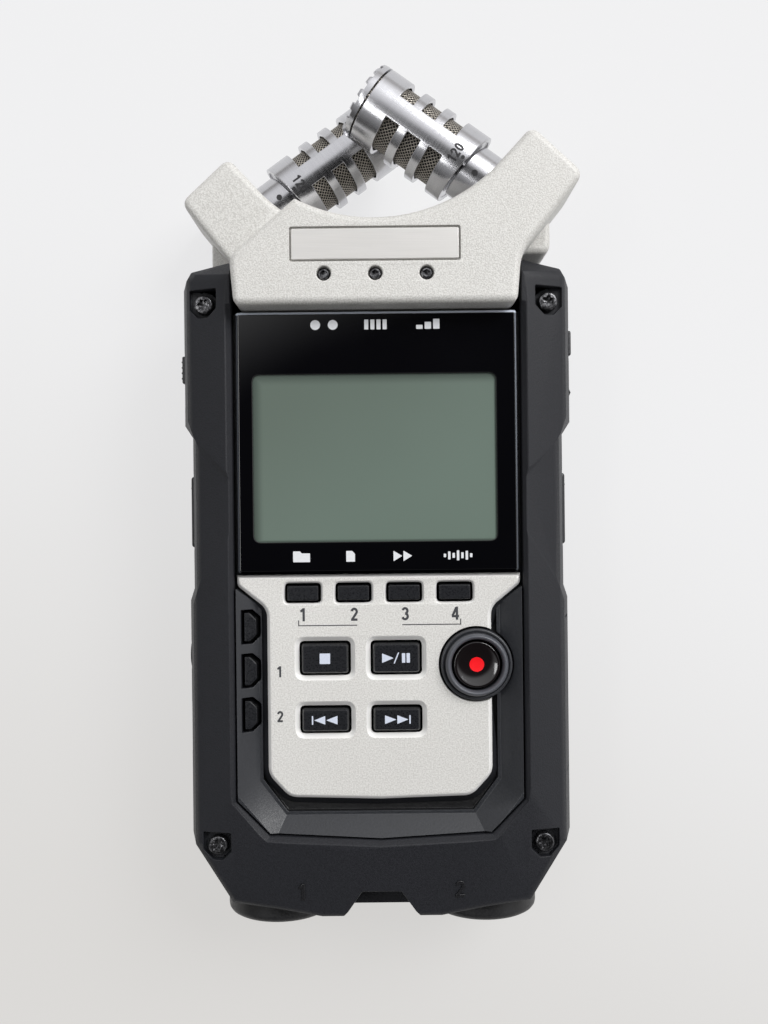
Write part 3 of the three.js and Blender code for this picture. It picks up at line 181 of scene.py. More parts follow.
def finished(name, mesh, finish, body, node=None, bevel=0.0, steps=3, sharp=38.0):
    """Makes a mesh a piece: smooth with sharp edges kept, edges rounded, riding on its body."""
    mesh.polygons.foreach_set("use_smooth", np.ones(len(mesh.polygons), bool))
    mesh.set_sharp_from_angle(angle=math.radians(sharp))
    piece = bpy.data.objects.new(name, mesh)
    bpy.context.scene.collection.objects.link(piece)
    mesh.materials.append(finish.material)
    if bevel:
        edge = piece.modifiers.new("edges", "BEVEL")
        edge.width, edge.segments = bevel / 1000, steps
        edge.limit_method, edge.angle_limit = "ANGLE", math.radians(sharp)
        edge.use_clamp_overlap = False
        edge.miter_outer = "MITER_ARC"
    weight = piece.modifiers.new("flats", "WEIGHTED_NORMAL")
    weight.keep_sharp = not bevel
    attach(piece, body)
    if node:
        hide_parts(node)
    return piece


def merge(shape):
    """Joins points less than 0.002 mm apart."""
    bmesh.ops.remove_doubles(shape, verts=shape.verts, dist=2e-6)


def flatten(shape):
    """Makes one face of those that lie within a degree of one plane."""
    bmesh.ops.dissolve_limit(shape, angle_limit=math.radians(1), verts=shape.verts, edges=shape.edges)


def reworked(source, mesh, steps):
    """The mesh, written from the source after some steps on it."""
    shape = bmesh.new()
    shape.from_mesh(source)
    for step in steps:
        step(shape)
    shape.to_mesh(mesh)
    shape.free()
    return mesh


def copied(node, finish, body="recorder", bevel=0.2, steps=3, sharp=38.0):
    """Copy of a CAD node whose loose triangles are joined and whose edges are rounded."""
    name = node + "_skin"
    mesh = reworked(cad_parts[node].data, bpy.data.meshes.new(name), (merge, flatten))
    return finished(name, mesh, finish, body, node, bevel, steps, sharp)


rubber = moulded("soft_rubber", "rubber", (25, 26, 30), (34, 35, 40), 0.55,
                 grain=0.3, relief=0.012, shine=0.35)
copied("outer_frame", rubber, bevel=0.17, steps=2)


# Rear cover and battery door
# The back half of the body, moulded in the same rubber-coated plastic. It keeps sharp edges, because a
# bevel breaks its face between the speaker's slots. The battery door has a grip of raised bars.
backing = moulded("back_rubber", "rubber", (28, 29, 33), (37, 38, 43), 0.6,
                  grain=0.3, relief=0.016, shine=0.35)
copied("rear_cover", backing, bevel=0)
copied("battery_door", backing, "battery_door", bevel=0.25)
grip_top, grip_step, grip_wide, grip_narrowing = 45.6, 1.5, 15, 0.9
bar_count, bar_tall, bar_corner, bar_high, bar_edge, bar_root = 7, 0.7, 0.34, 0.28, 0.2, 0.05
# Points of an outline closer than this are one point.
same_spot = 1e-4


def outline_of(points, reach, steps=6):
    """Closed outline whose corners are rounded: from reach before each corner to reach after it, along a
    quadratic curve (1-t)^2 start + 2t(1-t) corner + t^2 end. Points that fall together are dropped."""
    corner = np.array(points, float)
    before, after = np.roll(corner, 1, 0) - corner, np.roll(corner, -1, 0) - corner
    lengths = np.linalg.norm(before, axis=1), np.linalg.norm(after, axis=1)
    size = np.minimum(np.broadcast_to(reach, len(corner)), 0.5 * np.minimum(*lengths))
    start = corner + before * (size / lengths[0])[:, None]
    end = corner + after * (size / lengths[1])[:, None]
    t = np.linspace(0, 1, steps + 1)[None, :, None]
    curve = (1 - t) ** 2 * start[:, None] + 2 * t * (1 - t) * corner[:, None] + t ** 2 * end[:, None]
    curve = curve.reshape(-1, 2)
    curve = curve[np.linalg.norm(np.roll(curve, -1, 0) - curve, axis=1) > same_spot]
    x, y = curve.T
    turn = np.sum(x * np.roll(y, -1) - np.roll(x, -1) * y)
    return curve if turn > 0 else curve[::-1]


def drawn_in(outline, distance):
    """The outline moved inwards by a distance, or by one for each edge: a point goes to where the moved lines
    of its two edges meet. An edge that this would turn round is dropped, and its neighbours meet instead."""
    distance = np.broadcast_to(distance, len(outline))
    ahead = np.roll(outline, -1, 0) - outline
    ahead = ahead / np.linalg.norm(ahead, axis=1, keepdims=True)
    normal = np.stack([-ahead[:, 1], ahead[:, 0]], 1)
    line = np.sum(normal * outline, 1) + distance
    both = normal + np.roll(normal, 1, 0)
    moved = outline + distance[:, None] * both * 2 / np.sum(both ** 2, 1, keepdims=True)
    edge = np.arange(len(outline))
    kept = edge
    uneven = distance != np.roll(distance, 1)
    while True:
        rank = np.searchsorted(kept, edge)
        before, after = kept[rank - 1], kept[rank % len(kept)]
        bent = uneven | (before != (edge - 1) % len(edge)) | (after != edge)
        pair = np.stack([normal[before], normal[after]], 1)[bent]
        sides = np.stack([line[before], line[after]], 1)[bent]
        moved[bent] = np.linalg.solve(pair, sides[..., None])[..., 0]
        turned_round = np.sum((np.roll(moved, -1, 0) - moved) * ahead, 1) < -1e-9
        if not turned_round[kept].any():
            return moved
        kept = kept[~turned_round[kept]]


def sheet_faces(rows, columns, wrap_rows=False):
    """Corner numbers of a grid's four-sided faces, row by row. Its columns close into a ring."""
    row, column = np.arange(rows - (not wrap_rows))[:, None], np.arange(columns)[None]
    below, beside = (row + 1) % rows * columns, (column + 1) % columns
    corners = [row * columns + column, row * columns + beside, below + beside, below + column]
    return np.stack(corners, -1).reshape(-1, 4).tolist()


def level(outline, z):
    """The outline's points, all at one height."""
    return np.column_stack([outline, np.full(len(outline), z)])


def filled(loops):
    """Flat fill of the first loop of points around the others."""
    loops = [loop[np.linalg.norm(np.roll(loop, 1, 0) - loop, axis=1) > same_spot] for loop in loops]
    faces = tessellate_polygon([[Vector(point) for point in loop] for loop in loops])
    return np.concatenate(loops), faces


def slab(outline, profile, holes=(), share=1.0):
    """Plate built up ring by ring: at each (inset, height) of the profile the outline is drawn in by the
    inset, times each edge's share. A hole is an outline and its own profile from the top down; it ends in a
    floor, or goes through."""
    rings = [level(drawn_in(outline, inset * share), z) for inset, z in profile]
    parts = [(np.concatenate(rings), sheet_faces(len(rings), len(outline)))]
    mouths, exits = [], []
    for edge, steps, through in holes:
        wall = [level(drawn_in(edge, inset), z) for inset, z in steps]
        parts.append((np.concatenate(wall), sheet_faces(len(wall), len(edge))))
        mouths.append(wall[0])
        if through:
            exits.append(wall[-1])
        else:
            parts.append(filled([wall[-1]]))
    return parts + [filled([rings[-1]] + mouths), filled([rings[0]] + exits)]


def soft_rim(low, high, edge, steps=4):
    """Profile of a plate from low to high whose upper edge is a quarter round of the given radius."""
    turn = np.linspace(0, math.pi / 2, steps + 1)
    return [(0, low)] + [(edge * (1 - math.cos(a)), high - edge + edge * math.sin(a)) for a in turn]


def box_outline(x, y, wide, tall):
    """Corners of a rectangle about its middle."""
    w, t = wide / 2, tall / 2
    return [(x - w, y - t), (x + w, y - t), (x + w, y + t), (x - w, y + t)]


def together(parts):
    """One (points, faces) part out of several."""
    starts = np.cumsum([0] + [len(points) for points, _ in parts])
    faces = [tuple(int(i) + start for i in face) for (_, part), start in zip(parts, starts) for face in part]
    return np.concatenate([points for points, _ in parts]), faces


def face_outwards(shape):
    """Turns the faces of a closed shape outwards."""
    bmesh.ops.recalc_face_normals(shape, faces=shape.faces)


def joined(parts, *steps):
    """One mesh in metres from parts in millimetres: doubles are merged, and then it has the given steps."""
    points, faces = together(parts)
    mesh = bpy.data.meshes.new("shape")
    mesh.from_pydata((points / 1000).tolist(), [], faces)
    return reworked(mesh, mesh, (merge, *steps))


def closed(parts):
    """One mesh whose faces point outwards."""
    return joined(parts, face_outwards)


def moved(part, matrix):
    """A part carried by a 4 by 4 matrix."""
    points, faces = part
    return points @ np.array(matrix)[:3, :3].T + np.array(matrix)[:3, 3], faces


face_down = np.diag([1.0, -1.0, -1.0, 1.0])
grip_bars = []
for i in range(bar_count):
    bar_wide = grip_wide - grip_narrowing * abs(i - bar_count // 2)
    bar = outline_of(box_outline(0, grip_top - grip_step * i, bar_wide, bar_tall), bar_corner, 4)
    grip_bars += [moved(part, face_down) for part in slab(bar, soft_rim(-bar_root, bar_high, bar_edge))]
finished("door_grip", closed(grip_bars), backing, "battery_door")


# Jack numbers
# The figures 1 and 2, moulded on the frame's foot above the two jacks, a little glossier than the rubber
# round them. Each stands square to the slope that it lies on.
raised = moulded("raised_rubber", "rubber", (15, 15, 18), (22, 22, 26), 0.4,
                 grain=0.3, relief=0.01, shine=0.5)
number_tall, number_sunk, number_high, number_edge = 3.1, 0.2, 0.26, 0.06
number_places = {"1": (-13.8, -68.6), "2": (13.5, -68.3)}
ray_start = 60


def arc(x, y, wide, tall, start, end, steps=14):
    """Points on an ellipse from one angle in degrees to another."""
    angle = np.radians(np.linspace(start, end, steps))
    return np.column_stack([x + wide * np.cos(angle), y + tall * np.sin(angle)]).tolist()


# The pen's paths for the digits, each in a box 1 high.
strokes = {
    "0": [arc(0.28, 0.5, 0.19, 0.41, 85, 275), arc(0.28, 0.5, 0.19, 0.41, 265, 455)],
    "1": [[(0.36, 0.0), (0.36, 1.0)], [(0.11, 0.76), (0.2, 0.79), (0.3, 0.89)]],
    "2": [arc(0.28, 0.7, 0.19, 0.215, 172, -28) + [(0.12, 0.1)], [(0.03, 0.085), (0.52, 0.085)]],
    "3": [arc(0.27, 0.71, 0.18, 0.205, 165, -90), arc(0.27, 0.29, 0.2, 0.215, 90, -165)],
    "4": [[(0.39, 0.0), (0.39, 1.0)], [(0.35, 0.94), (0.06, 0.3)], [(0.0, 0.27), (0.55, 0.27)]],
    "9": [arc(0.28, 0.68, 0.19, 0.235, -5, 185), arc(0.28, 0.68, 0.19, 0.235, 175, 365),
          [(0.47, 0.68), (0.45, 0.46), (0.36, 0.22), (0.2, 0.03)]],
}


def lettering(text, tall, pen=0.17, advance=0.66):
    """Outlines of a number's strokes, centred on the origin: each path is drawn with a broad pen, whose width
    is a share of the height, by going along its right side and back along its left."""
    outlines = []
    for i, digit in enumerate(text):
        for path in strokes[digit]:
            spots = np.array(path)
            ahead = np.gradient(spots, axis=0)
            aside = np.column_stack([-ahead[:, 1], ahead[:, 0]]) / np.linalg.norm(ahead, axis=1)[:, None]
            loop = np.concatenate([spots - aside * pen / 2, (spots + aside * pen / 2)[::-1]])
            outlines.append((loop + [i * advance, 0]) * tall)
    every = np.concatenate(outlines)
    middle = (every.min(0) + every.max(0)) / 2
    return [outline - middle for outline in outlines]


def laid(part, tree, x, y):
    """Sets a flat part down on a surface at a place, turned to the slope there."""
    spot, normal, _, _ = tree.ray_cast(Vector((x, y, ray_start)) / 1000, Vector((0, 0, -1)))
    turn = Vector((0, 0, 1)).rotation_difference(normal).to_matrix().to_4x4()
    return moved(part, Matrix.Translation(spot * 1000) @ turn)


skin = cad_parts["outer_frame"].data
frame_surface = BVHTree.FromPolygons([vertex.co for vertex in skin.vertices],
                                     [tuple(face.vertices) for face in skin.polygons])
number_rim = [(0, -number_sunk), (0, number_high - number_edge), (number_edge, number_high)]
jack_numbers = [laid(part, frame_surface, *place) for text, place in number_places.items()
                for outline in lettering(text, number_tall) for part in slab(outline, number_rim)]
finished("jack_numbers", closed(jack_numbers), raised, "recorder")


# Front deck
# The dark plastic tray inside the frame. Its sloping band frames the panel, and the input keys, the
# display and the panel sit in it. It is satin and a little bluer than the rubber, and painted near black in
# its depths as painted shade of the deep groove round the panel.
deck = moulded("deck_plastic", "dark_plastic", (29, 31, 35), (37, 39, 44), 0.42,
               grain=0.35, relief=0.006, shine=0.6)
deck_shade_floor, deck_lit = 26.2, 27.4
# Painted shade: low in the groove the deck's colour darkens to near black.
deck.grade(deck_shade_floor, deck_lit, below=srgb(9, 9, 11))
copied("front_deck", deck, bevel=0.1, steps=2, sharp=25.0)


# Display
# A black window of glossy acrylic with a fine bevelled rim, open over the grey-green display. The bevel's
# top and sides carry a painted highlight, pale colour where they would catch the light. The white marks say
# what the keys below do.
window_y, window_wide, window_tall, window_top, window_foot = 8.7, 48.2, 44.8, 29.5, 28
window_side, window_head = window_wide / 2, window_y + window_tall / 2
screen_x, screen_y, screen_wide, screen_tall = -0.4, 6.0, 42.0, 29.0
screen_left, screen_right = screen_x - screen_wide / 2, screen_x + screen_wide / 2
screen_low, screen_high = screen_y - screen_tall / 2, screen_y + screen_tall / 2
screen_drop, screen_inset, dot_size = 0.43, 0.12, 0.3
mark_z = window_top + 0.015

glass = Finish("window_black", "display_glass", Coat_Weight=0.6, Coat_Roughness=0.02)
smear = glass.noise(18.0, 4.0)
glass.set("Roughness", glass.band(smear, 0.35, 0.75, 0.03, 0.07))
across, upward, rise = (glass.along(axis) for axis in "XYZ")
# Painted highlight: the bevel's top and sides are painted pale where they would catch the light, the right
# side fading towards the bottom.
on_top_bevel = glass.band(upward, window_head - 0.6, window_head - 0.4)
lit_top = on_top_bevel * glass.band(rise, window_top, window_top - 0.03)
lit_top = lit_top * glass.band(rise, window_top - 0.4, window_top - 0.3)
on_right_bevel = glass.band(across, window_side - 0.6, window_side - 0.4)
on_left_bevel = glass.band(across, 0.6 - window_side, 0.4 - window_side)
lit_side = on_right_bevel * glass.band(upward, -14.0, 31.0, 0.14, 0.34) + on_left_bevel * 0.12
lit_side = lit_side * glass.band(rise, window_top - 0.04, window_top - 0.1)
lit_side = lit_side * glass.band(rise, window_top - 0.28, window_top - 0.2)
black = glass.blend(smear, srgb(3, 3, 5), srgb(7, 7, 10))
painted_bevel_glint = glass.math("MAXIMUM", lit_top, lit_side)
glass.set("Base Color", glass.blend(painted_bevel_glint, black, srgb(206, 214, 226)))

window = outline_of(box_outline(0, window_y, window_wide, window_tall), 0.5, 3)
screen = outline_of(box_outline(screen_x, screen_y, screen_wide, screen_tall), 1.5, 8)
screen_wall = [(0, window_top), (0.1, window_top - 0.08), (screen_inset, window_top - 0.45)]
bevel_steps = [(0, 0.38), (0.08, 0.25), (0.4, 0.03), (0.46, 0.005), (0.55, 0)]
window_rim = [(0, window_foot)] + [(inset, window_top - drop) for inset, drop in bevel_steps]
window_mesh = closed(slab(window, window_rim, [(screen, screen_wall, False)]))
finished("window", window_mesh, glass, "recorder", "display_window")

lcd = Finish("lcd_face", "display_screen", Coat_Weight=0.8, Coat_Roughness=0.05)
across, upward = lcd.along("X"), lcd.along("Y")
# Painted shadow: the screen is painted darker along its rim, most of all along the left and the top, where
# the window's edge would shade it. Painted light: it is painted lighter towards its lower right.
rim = lcd.least(lcd.band(across, screen_left + 0.2, screen_left + 2.0),
                lcd.band(upward, screen_high - 0.2, screen_high - 2.1),
                lcd.band(across, screen_right - 0.2, screen_right - 0.6),
                lcd.band(upward, screen_low + 0.2, screen_low + 0.6))
dots = lcd.math("MAXIMUM", *(lcd.math("PINGPONG", axis, dot_size / 2) for axis in (across, upward)))
pixels = lcd.band(dots, 0.1, 0.14, 1.0, 0.975)
sheen = lcd.noise(30.0)
corner = lcd.band(across * 0.6 - upward, -30.0, 8.0) * 0.75 + sheen * 0.25
lit = lcd.blend(rim, srgb(66, 78, 70), lcd.blend(corner, srgb(90, 103, 93), srgb(103, 119, 109)))
dotted = lcd.blend(pixels, srgb(0, 0, 0), srgb(255, 255, 255))
lcd.set("Base Color", lcd.blend(1.0, lit, dotted, "MULTIPLY"))
lcd.set("Roughness", 0.3 + sheen * 0.1)
lcd_sheet = filled([level(drawn_in(screen, screen_inset), window_top - screen_drop)])
finished("lcd_face", joined([lcd_sheet]), lcd, "recorder")


def clouded(name, slot, dark, light, patch, rough, swing=0.0, detail=2.0, relief=0.0, **plain):
    """Ink, paint or metal whose shade drifts with cloudy noise: its patches are patch millimetres big, and
    its roughness goes from rough up to rough plus swing with them."""
    finish = Finish(name, slot, **plain)
    cloud = finish.noise(patch, detail)
    finish.set("Base Color", finish.blend(cloud, srgb(*dark), srgb(*light)))
    finish.set("Roughness", rough + cloud * swing if swing else rough)
    if relief:
        finish.bump(cloud, relief)
    return finish


def full_turn(sides):
    """Angles in equal steps once round."""
    return np.linspace(0, 2 * math.pi, sides, endpoint=False)


def box_at(x, y, wide, tall):
    """Corners of a rectangle from its lower left one."""
    return np.array([(x, y), (x + wide, y), (x + wide, y + tall), (x, y + tall)])


def disc_at(x, y, radius, sides=28):
    """Points round a circle."""
    angle = full_turn(sides)
    return np.column_stack([x + radius * np.cos(angle), y + radius * np.sin(angle)])


def shapes(polygons, z):
    """Flat printed figures from outlines of a few corners, as one part at a height."""
    return together([filled([level(outline_of(points, 0.08, 2), z)]) for points in polygons])


def face_up(shape):
    """Turns every face that looks down."""
    bmesh.ops.reverse_faces(shape, faces=[face for face in shape.faces if face.normal.z < 0])


white_ink = clouded("white_ink", "display_glass", (214, 216, 218), (226, 228, 230), 0.4, rough=0.4)
upper_y, lower_y = 27.95, -11.8
bars_x, bars_step, signal_x, signal_step = -2.0, 1.05, 6.9, 1.45
wave_x, wave_y, wave_step, wave_tall = 11.2, -10.9, 0.75, 1.7
wave_heights = (0.35, 0.8, 0.5, 1.0, 0.6, 0.9, 0.4)
marks = [
    disc_at(-10.4, 28.8, 0.85), disc_at(-7.4, 28.8, 0.85),
    *[box_at(bars_x + bars_step * i, upper_y, 0.7, 1.7) for i in range(4)],
    *[box_at(signal_x + signal_step * i, upper_y, 1.1, 0.7 + 0.5 * i) for i in range(3)],
    [(-14.6, lower_y), (-11.7, lower_y), (-11.7, -10.3), (-13.1, -10.3), (-13.4, -9.95), (-14.6, -9.95)],
    [(-5.5, lower_y), (-4.0, lower_y), (-4.0, -10.45), (-4.5, -9.95), (-5.5, -9.95)],
    *[[(x, lower_y), (x + 1.5, -10.9), (x, -10.0)] for x in (2.6, 4.3)],
    *[box_at(wave_x + wave_step * i, wave_y - wave_tall / 2 * share, 0.42, wave_tall * share)
      for i, share in enumerate(wave_heights)],
]
finished("window_marks", joined([shapes(marks, mark_z)], face_up), white_ink, "recorder")


# Control panel
# A moulded panel painted warm silver, with a rounded pocket and a bevel round each key, on a dark skirt. Its
# bevels are painted paler as a painted highlight, and its walls below them are painted near black as painted
# shade.
# Its numbers and lines are printed in dark grey ink, for tracks 1 to 4 and inputs 1 and 2.
panel_top, panel_foot, painted_shade_top = 29.0, 26.3, 28.2
panel_side, panel_low = 19.3, -52.75
ring_x, ring_y, ring_hole = 16.67, -29.62, 6.45
bite_steps, along_curve = 61, 0.001
key_places = {"stop_key": (-9.35, -28.4, 8.25, 5.35), "play_key": (2.9, -28.4, 8.25, 5.35),
              "rewind_key": (-9.35, -38.95, 8.25, 4.2), "forward_key": (2.9, -38.95, 8.25, 4.2)}
function_y, function_wide, function_tall = -17.15, 5.6, 2.8
function_x = [(i - 1.5) * 8.7 for i in range(4)]
key_gap, print_z = 0.3, panel_top + 0.02

silver = Finish("panel_silver", "panel_paint", Specular_IOR_Level=0.5)
flake = silver.speckle(0.25)
haze = silver.noise(11.0, 2.0)
height = silver.along("Z")
paint = silver.blend(flake * 0.8 + haze * 0.2, srgb(204, 202, 197), srgb(231, 230, 226))
# Painted highlight: just below the flat top, on the bevels, the silver is painted paler.
paint = silver.blend(silver.band(height, panel_top - 0.01, panel_top - 0.04), paint, srgb(243, 242, 239))
# Painted shade: low on the pocket walls and the panel's edge the colour is painted near black, as in the deep
# wells round the keys.
unshaded_paint = silver.band(height, painted_shade_top - 0.04, painted_shade_top + 0.04)
silver.set("Base Color", silver.blend(unshaded_paint, srgb(14, 14, 16), paint))
silver.set("Roughness", 0.36 + flake * 0.14)
silver.set("Metallic", unshaded_paint * 0.15)
silver.bump(flake, 0.006)

bite_end = math.degrees(math.acos((panel_side - ring_x) / ring_hole))
bite = arc(ring_x, ring_y, ring_hole, ring_hole, -bite_end, bite_end - 360, bite_steps)
lower = [(15.7, -52.3), (panel_side, -48.4)]
upper = [(panel_side, -19.9), (24.4, -15.8), (24.4, -13.95)]
left_side = [(-x, y) for x, y in (lower + upper)[::-1]]
upper_reach, lower_reach = [1.5, 0.7, 0.15], [1.3, 1.3]
bite_reach = [along_curve] * bite_steps
panel_reach = [0.05, *lower_reach, *bite_reach, *upper_reach, *upper_reach[::-1], *lower_reach]
panel_plan = outline_of([(0, panel_low)] + lower + bite + upper + left_side, panel_reach)
panel_rim = [(0, panel_foot), (0, 28.25), (0.07, 28.45), (0.5, 28.9), (0.6, 28.98), (0.75, panel_top)]
pocket_rim = [(-0.85, panel_top), (-0.76, 28.98), (-0.68, 28.9), (-0.2, 28.42), (-0.06, 28.3), (0, 28.25),
              (0, panel_foot)]
slim_rim = [(-0.4, panel_top), (-0.34, 28.98), (-0.28, 28.92), (-0.06, 28.6), (0, 28.5), (0, panel_foot)]


def pocket(x, y, wide, tall, corner, rim):
    """Hole for a key with a gap all round."""
    return outline_of(box_outline(x, y, wide + 2 * key_gap, tall + 2 * key_gap), corner), rim, True


pockets = [pocket(*place, 0.9, pocket_rim) for place in key_places.values()]
pockets += [pocket(x, function_y, function_wide, function_tall, 0.7, slim_rim) for x in function_x]
at_ring = np.abs(np.hypot(*(panel_plan - [ring_x, ring_y]).T) - ring_hole) < 0.02
bevel_share = np.where(at_ring & np.roll(at_ring, -1), 0.12, 1.0)
panel = closed(slab(panel_plan, panel_rim, pockets, bevel_share))
finished("panel", panel, silver, "recorder", "control_panel")

skirt_plastic = moulded("skirt_plastic", "dark_plastic", (30, 31, 34), (38, 39, 43), 0.42,
                        grain=0.35, relief=0.005, shine=0.5)
skirt_foot, skirt_top, skirt_out, skirt_in = 26.1, 28.22, 1.4, 0.4
skirt_profile = [(-skirt_out, skirt_foot), (-skirt_out, panel_foot), (0.02, skirt_top), (skirt_in, skirt_top),
                 (skirt_in, skirt_foot)]
skirt_rings = [level(drawn_in(panel_plan, inset * bevel_share), z) for inset, z in skirt_profile]
skirt = np.concatenate(skirt_rings), sheet_faces(len(skirt_rings), len(panel_plan), True)
finished("panel_skirt", closed([skirt]), skirt_plastic, "recorder")


def put(part, x, y, z=0):
    """A part carried to a place."""
    return moved(part, Matrix.Translation((x, y, z)))


def inked(text, tall, pen=0.18):
    """Flat figures from a number's strokes, each a hair above the last so that no two lie in one plane."""
    return [filled([level(outline, 0.003 * i)]) for i, outline in enumerate(lettering(text, tall, pen))]


ink = clouded("dark_ink", "panel_paint", (48, 49, 53), (64, 65, 69), 0.3, rough=0.55)
track_y, track_tall, input_tall = -20.85, 2.25, 1.9
line_y, line_long, line_wide, line_drop = -22.82, 10.14, 0.17, 1.0
printed = [(str(i + 1), track_tall, x, track_y) for i, x in enumerate((-13.15, -4.24, 4.5, 13.1))]
printed += [("1", input_tall, -17.25, -30.6), ("2", input_tall, -17.15, -38.3)]
printing = [put(part, x, y, print_z) for text, tall, x, y in printed for part in inked(text, tall)]
lines = [box_at(-13.9, line_y, line_long, line_wide), box_at(-13.9, line_y, line_wide, line_drop),
         box_at(3.97, line_y, line_long - 0.01, line_wide), box_at(13.93, line_y, line_wide, line_drop)]
printing += [filled([level(outline, print_z - 0.002)]) for outline in lines]
finished("panel_printing", joined(printing, face_up), ink, "recorder")


# Keys
# Satin black moulded caps with a soft shoulder all round, painted near black down their sides as painted
# shade.
# The four big ones carry the usual signs for stop, play and pause, back and forward, printed pale, and the
# rest are plain.
key_black = moulded("key_black", "key_plastic", (25, 26, 29), (32, 33, 37), 0.36,
                    grain=0.3, relief=0.005, shine=0.6)
cap_black = moulded("cap_black", "key_plastic", (22, 23, 26), (29, 30, 34), 0.32,
                    grain=0.3, relief=0.005, shine=0.4)
sign_ink = clouded("sign_ink", "key_plastic", (196, 203, 219), (212, 218, 231), 0.35, rough=0.5)
key_foot, key_top, input_key_top, cap_edge = 24.9, 29.35, 28.9, 0.16
input_x, input_y, input_step = -22.15, -22.9, 7.57
input_half, input_half_tall, input_slant = 1.25, 2.65, 1.3
cap_dark, cap_lit = 28.7, 28.95
stop_wide, play_tall, pause_wide, skip_tall, skip_wide, slash_tall = 1.8, 1.64, 0.58, 1.5, 0.24, 1.9
# Painted shade: below their shoulders the caps' sides are painted near black.
cap_black.grade(cap_dark, cap_lit, below=srgb(4, 4, 5))


def cap(name, outline, high, draft):
    """Key cap: steep sides that lean in by the draft, and a narrow rounded edge round the flat top."""
    shoulder = [(draft + cap_edge * (1 - math.cos(a)), high - cap_edge + cap_edge * math.sin(a))
                for a in np.linspace(0.25, math.pi / 2, 6)]
    profile = [(0, key_foot), (0, high - 1.1), (0.12, high - 0.6), *shoulder]
    finished(name + "_cap", closed(slab(outline, profile)), cap_black, name, name)


for name, place in key_places.items():
    cap(name, outline_of(box_outline(*place), 0.7), key_top, 0.34)
for i, x in enumerate(function_x):
    function_key = outline_of(box_outline(x, function_y, function_wide, function_tall), 0.45)
    cap(f"function_key_{i + 1}", function_key, key_top, 0.16)
for i, name in enumerate(("input_key_mic", "input_key_1", "input_key_2")):
    y = input_y - input_step * i
    left, middle, right = input_x - input_half, input_x - 0.05, input_x + input_half
    low, high = y - input_half_tall, y + input_half_tall
    corners = [(left, low), (middle, low), (right, low + input_slant), (right, high - input_slant),
               (middle, high), (left, high)]
    cap(name, outline_of(corners, 0.3, 4), input_key_top, 0.2)


def arrow(back, tip, tall):
    """Triangle from its upright back to its tip."""
    return [(back, -tall / 2), (tip, 0), (back, tall / 2)]


def post(x, wide, tall):
    """Upright bar whose left side is at x."""
    return box_at(x, -tall / 2, wide, tall)


slash = [(-0.5, -slash_tall / 2), (-0.28, -slash_tall / 2), (0.5, slash_tall / 2), (0.28, slash_tall / 2)]
signs = {
    "stop_key": [post(-stop_wide / 2, stop_wide, stop_wide)],
    "play_key": [arrow(-2.45, -0.45, play_tall), slash,
                 *[post(x, pause_wide, play_tall) for x in (0.95, 1.75)]],
    "rewind_key": [post(-2.35, skip_wide, skip_tall),
                   *[arrow(back, tip, skip_tall) for back, tip in ((-0.05, -1.95), (2.05, 0.1))]],
    "forward_key": [post(2.11, skip_wide, skip_tall),
                    *[arrow(back, tip, skip_tall) for back, tip in ((0.05, 1.95), (-2.05, -0.1))]],
}
for name, polygons in signs.items():
    x, y = key_places[name][:2]
    sign = put(shapes(polygons, key_top + 0.02), x, y)
    finished(name + "_sign", joined([sign], face_up), sign_ink, name)


# Record ring and key
# A satin ring with a rounded crest stands round the glossy, dished record key, which has a red dot. The top
# of the crest is painted lighter as a painted highlight.
# Both are turned shapes here: a profile of radius and height carried round the key's axis.
def turned(profile, sides=96, wrap=False):
    """Turned shape: each (radius, height) of the profile goes round Z in equal steps, and both may change
    with the angle. Point j of ring i is (r cos a, r sin a, h) for its own r and h. A wrapped profile is a
    closed ring, and one that starts and ends on the axis closes itself."""
    angle = full_turn(sides)
    radius, height = (np.stack([np.broadcast_to(value, sides) for value in values])
                      for values in zip(*profile))
    grid = np.stack([radius * np.cos(angle), radius * np.sin(angle), height], -1)
    return grid.reshape(-1, 3), sheet_faces(len(profile), sides, wrap)


ring_plastic = moulded("ring_plastic", "dark_plastic", (38, 39, 43), (46, 48, 52), 0.4,
                       grain=0.3, relief=0.004, shine=0.6)
crest_radius, crest_z, crest_wide, crest_tall, crest_highlight_from, crest_highlight_to = 4.87, 29.95, 0.52, 1.05, 29.8, 30.3
# Painted highlight: the top of the crest is painted lighter, where it would catch the light.
ring_plastic.grade(crest_highlight_from, crest_highlight_to, above=srgb(78, 80, 86))
crest = [(crest_radius + crest_wide * math.cos(a), crest_z + crest_tall * math.sin(a))
         for a in np.linspace(math.pi, 0.15, 14)]
ring_profile = [(4.35, panel_foot), (4.35, 29.75), *crest, (5.4, 29.5), (5.5, 29.42), (5.58, 29.58),
                (5.72, 29.66), (5.98, 29.64), (6.1, 29.54), (6.15, 29.36), (6.15, panel_foot)]
ring = closed([put(turned(ring_profile, wrap=True), ring_x, ring_y)])
finished("ring", ring, ring_plastic, "recorder", "record_ring")

gloss = clouded("gloss_black", "gloss_black", (16, 12, 13), (24, 20, 21), 5.0, rough=0.06, swing=0.08,
                detail=3.0, Coat_Weight=0.7, Coat_Roughness=0.03)
dish_radius, dish_floor, dish_deep, dot_radius, dot_lift = 3.6, 29.47, 0.6, 1.26, 0.025


def dished(radius, steps, lift=0.0):
    """Profile of the key's hollow from a radius in to its axis: its height grows with the radius squared."""
    shares = np.linspace(radius / dish_radius, 0, steps)
    return [(dish_radius * share, dish_floor + lift + dish_deep * share ** 2) for share in shares]


key_profile = [(0, key_foot), (4.05, key_foot), (4.05, 29.8), (4.0, 29.95), (3.88, 30.06), (3.75, 30.09),
               *dished(dish_radius, 18)]
record_cap = closed([put(turned(key_profile), ring_x, ring_y)])
finished("record_cap", record_cap, gloss, "record_key", "record_key", sharp=60)

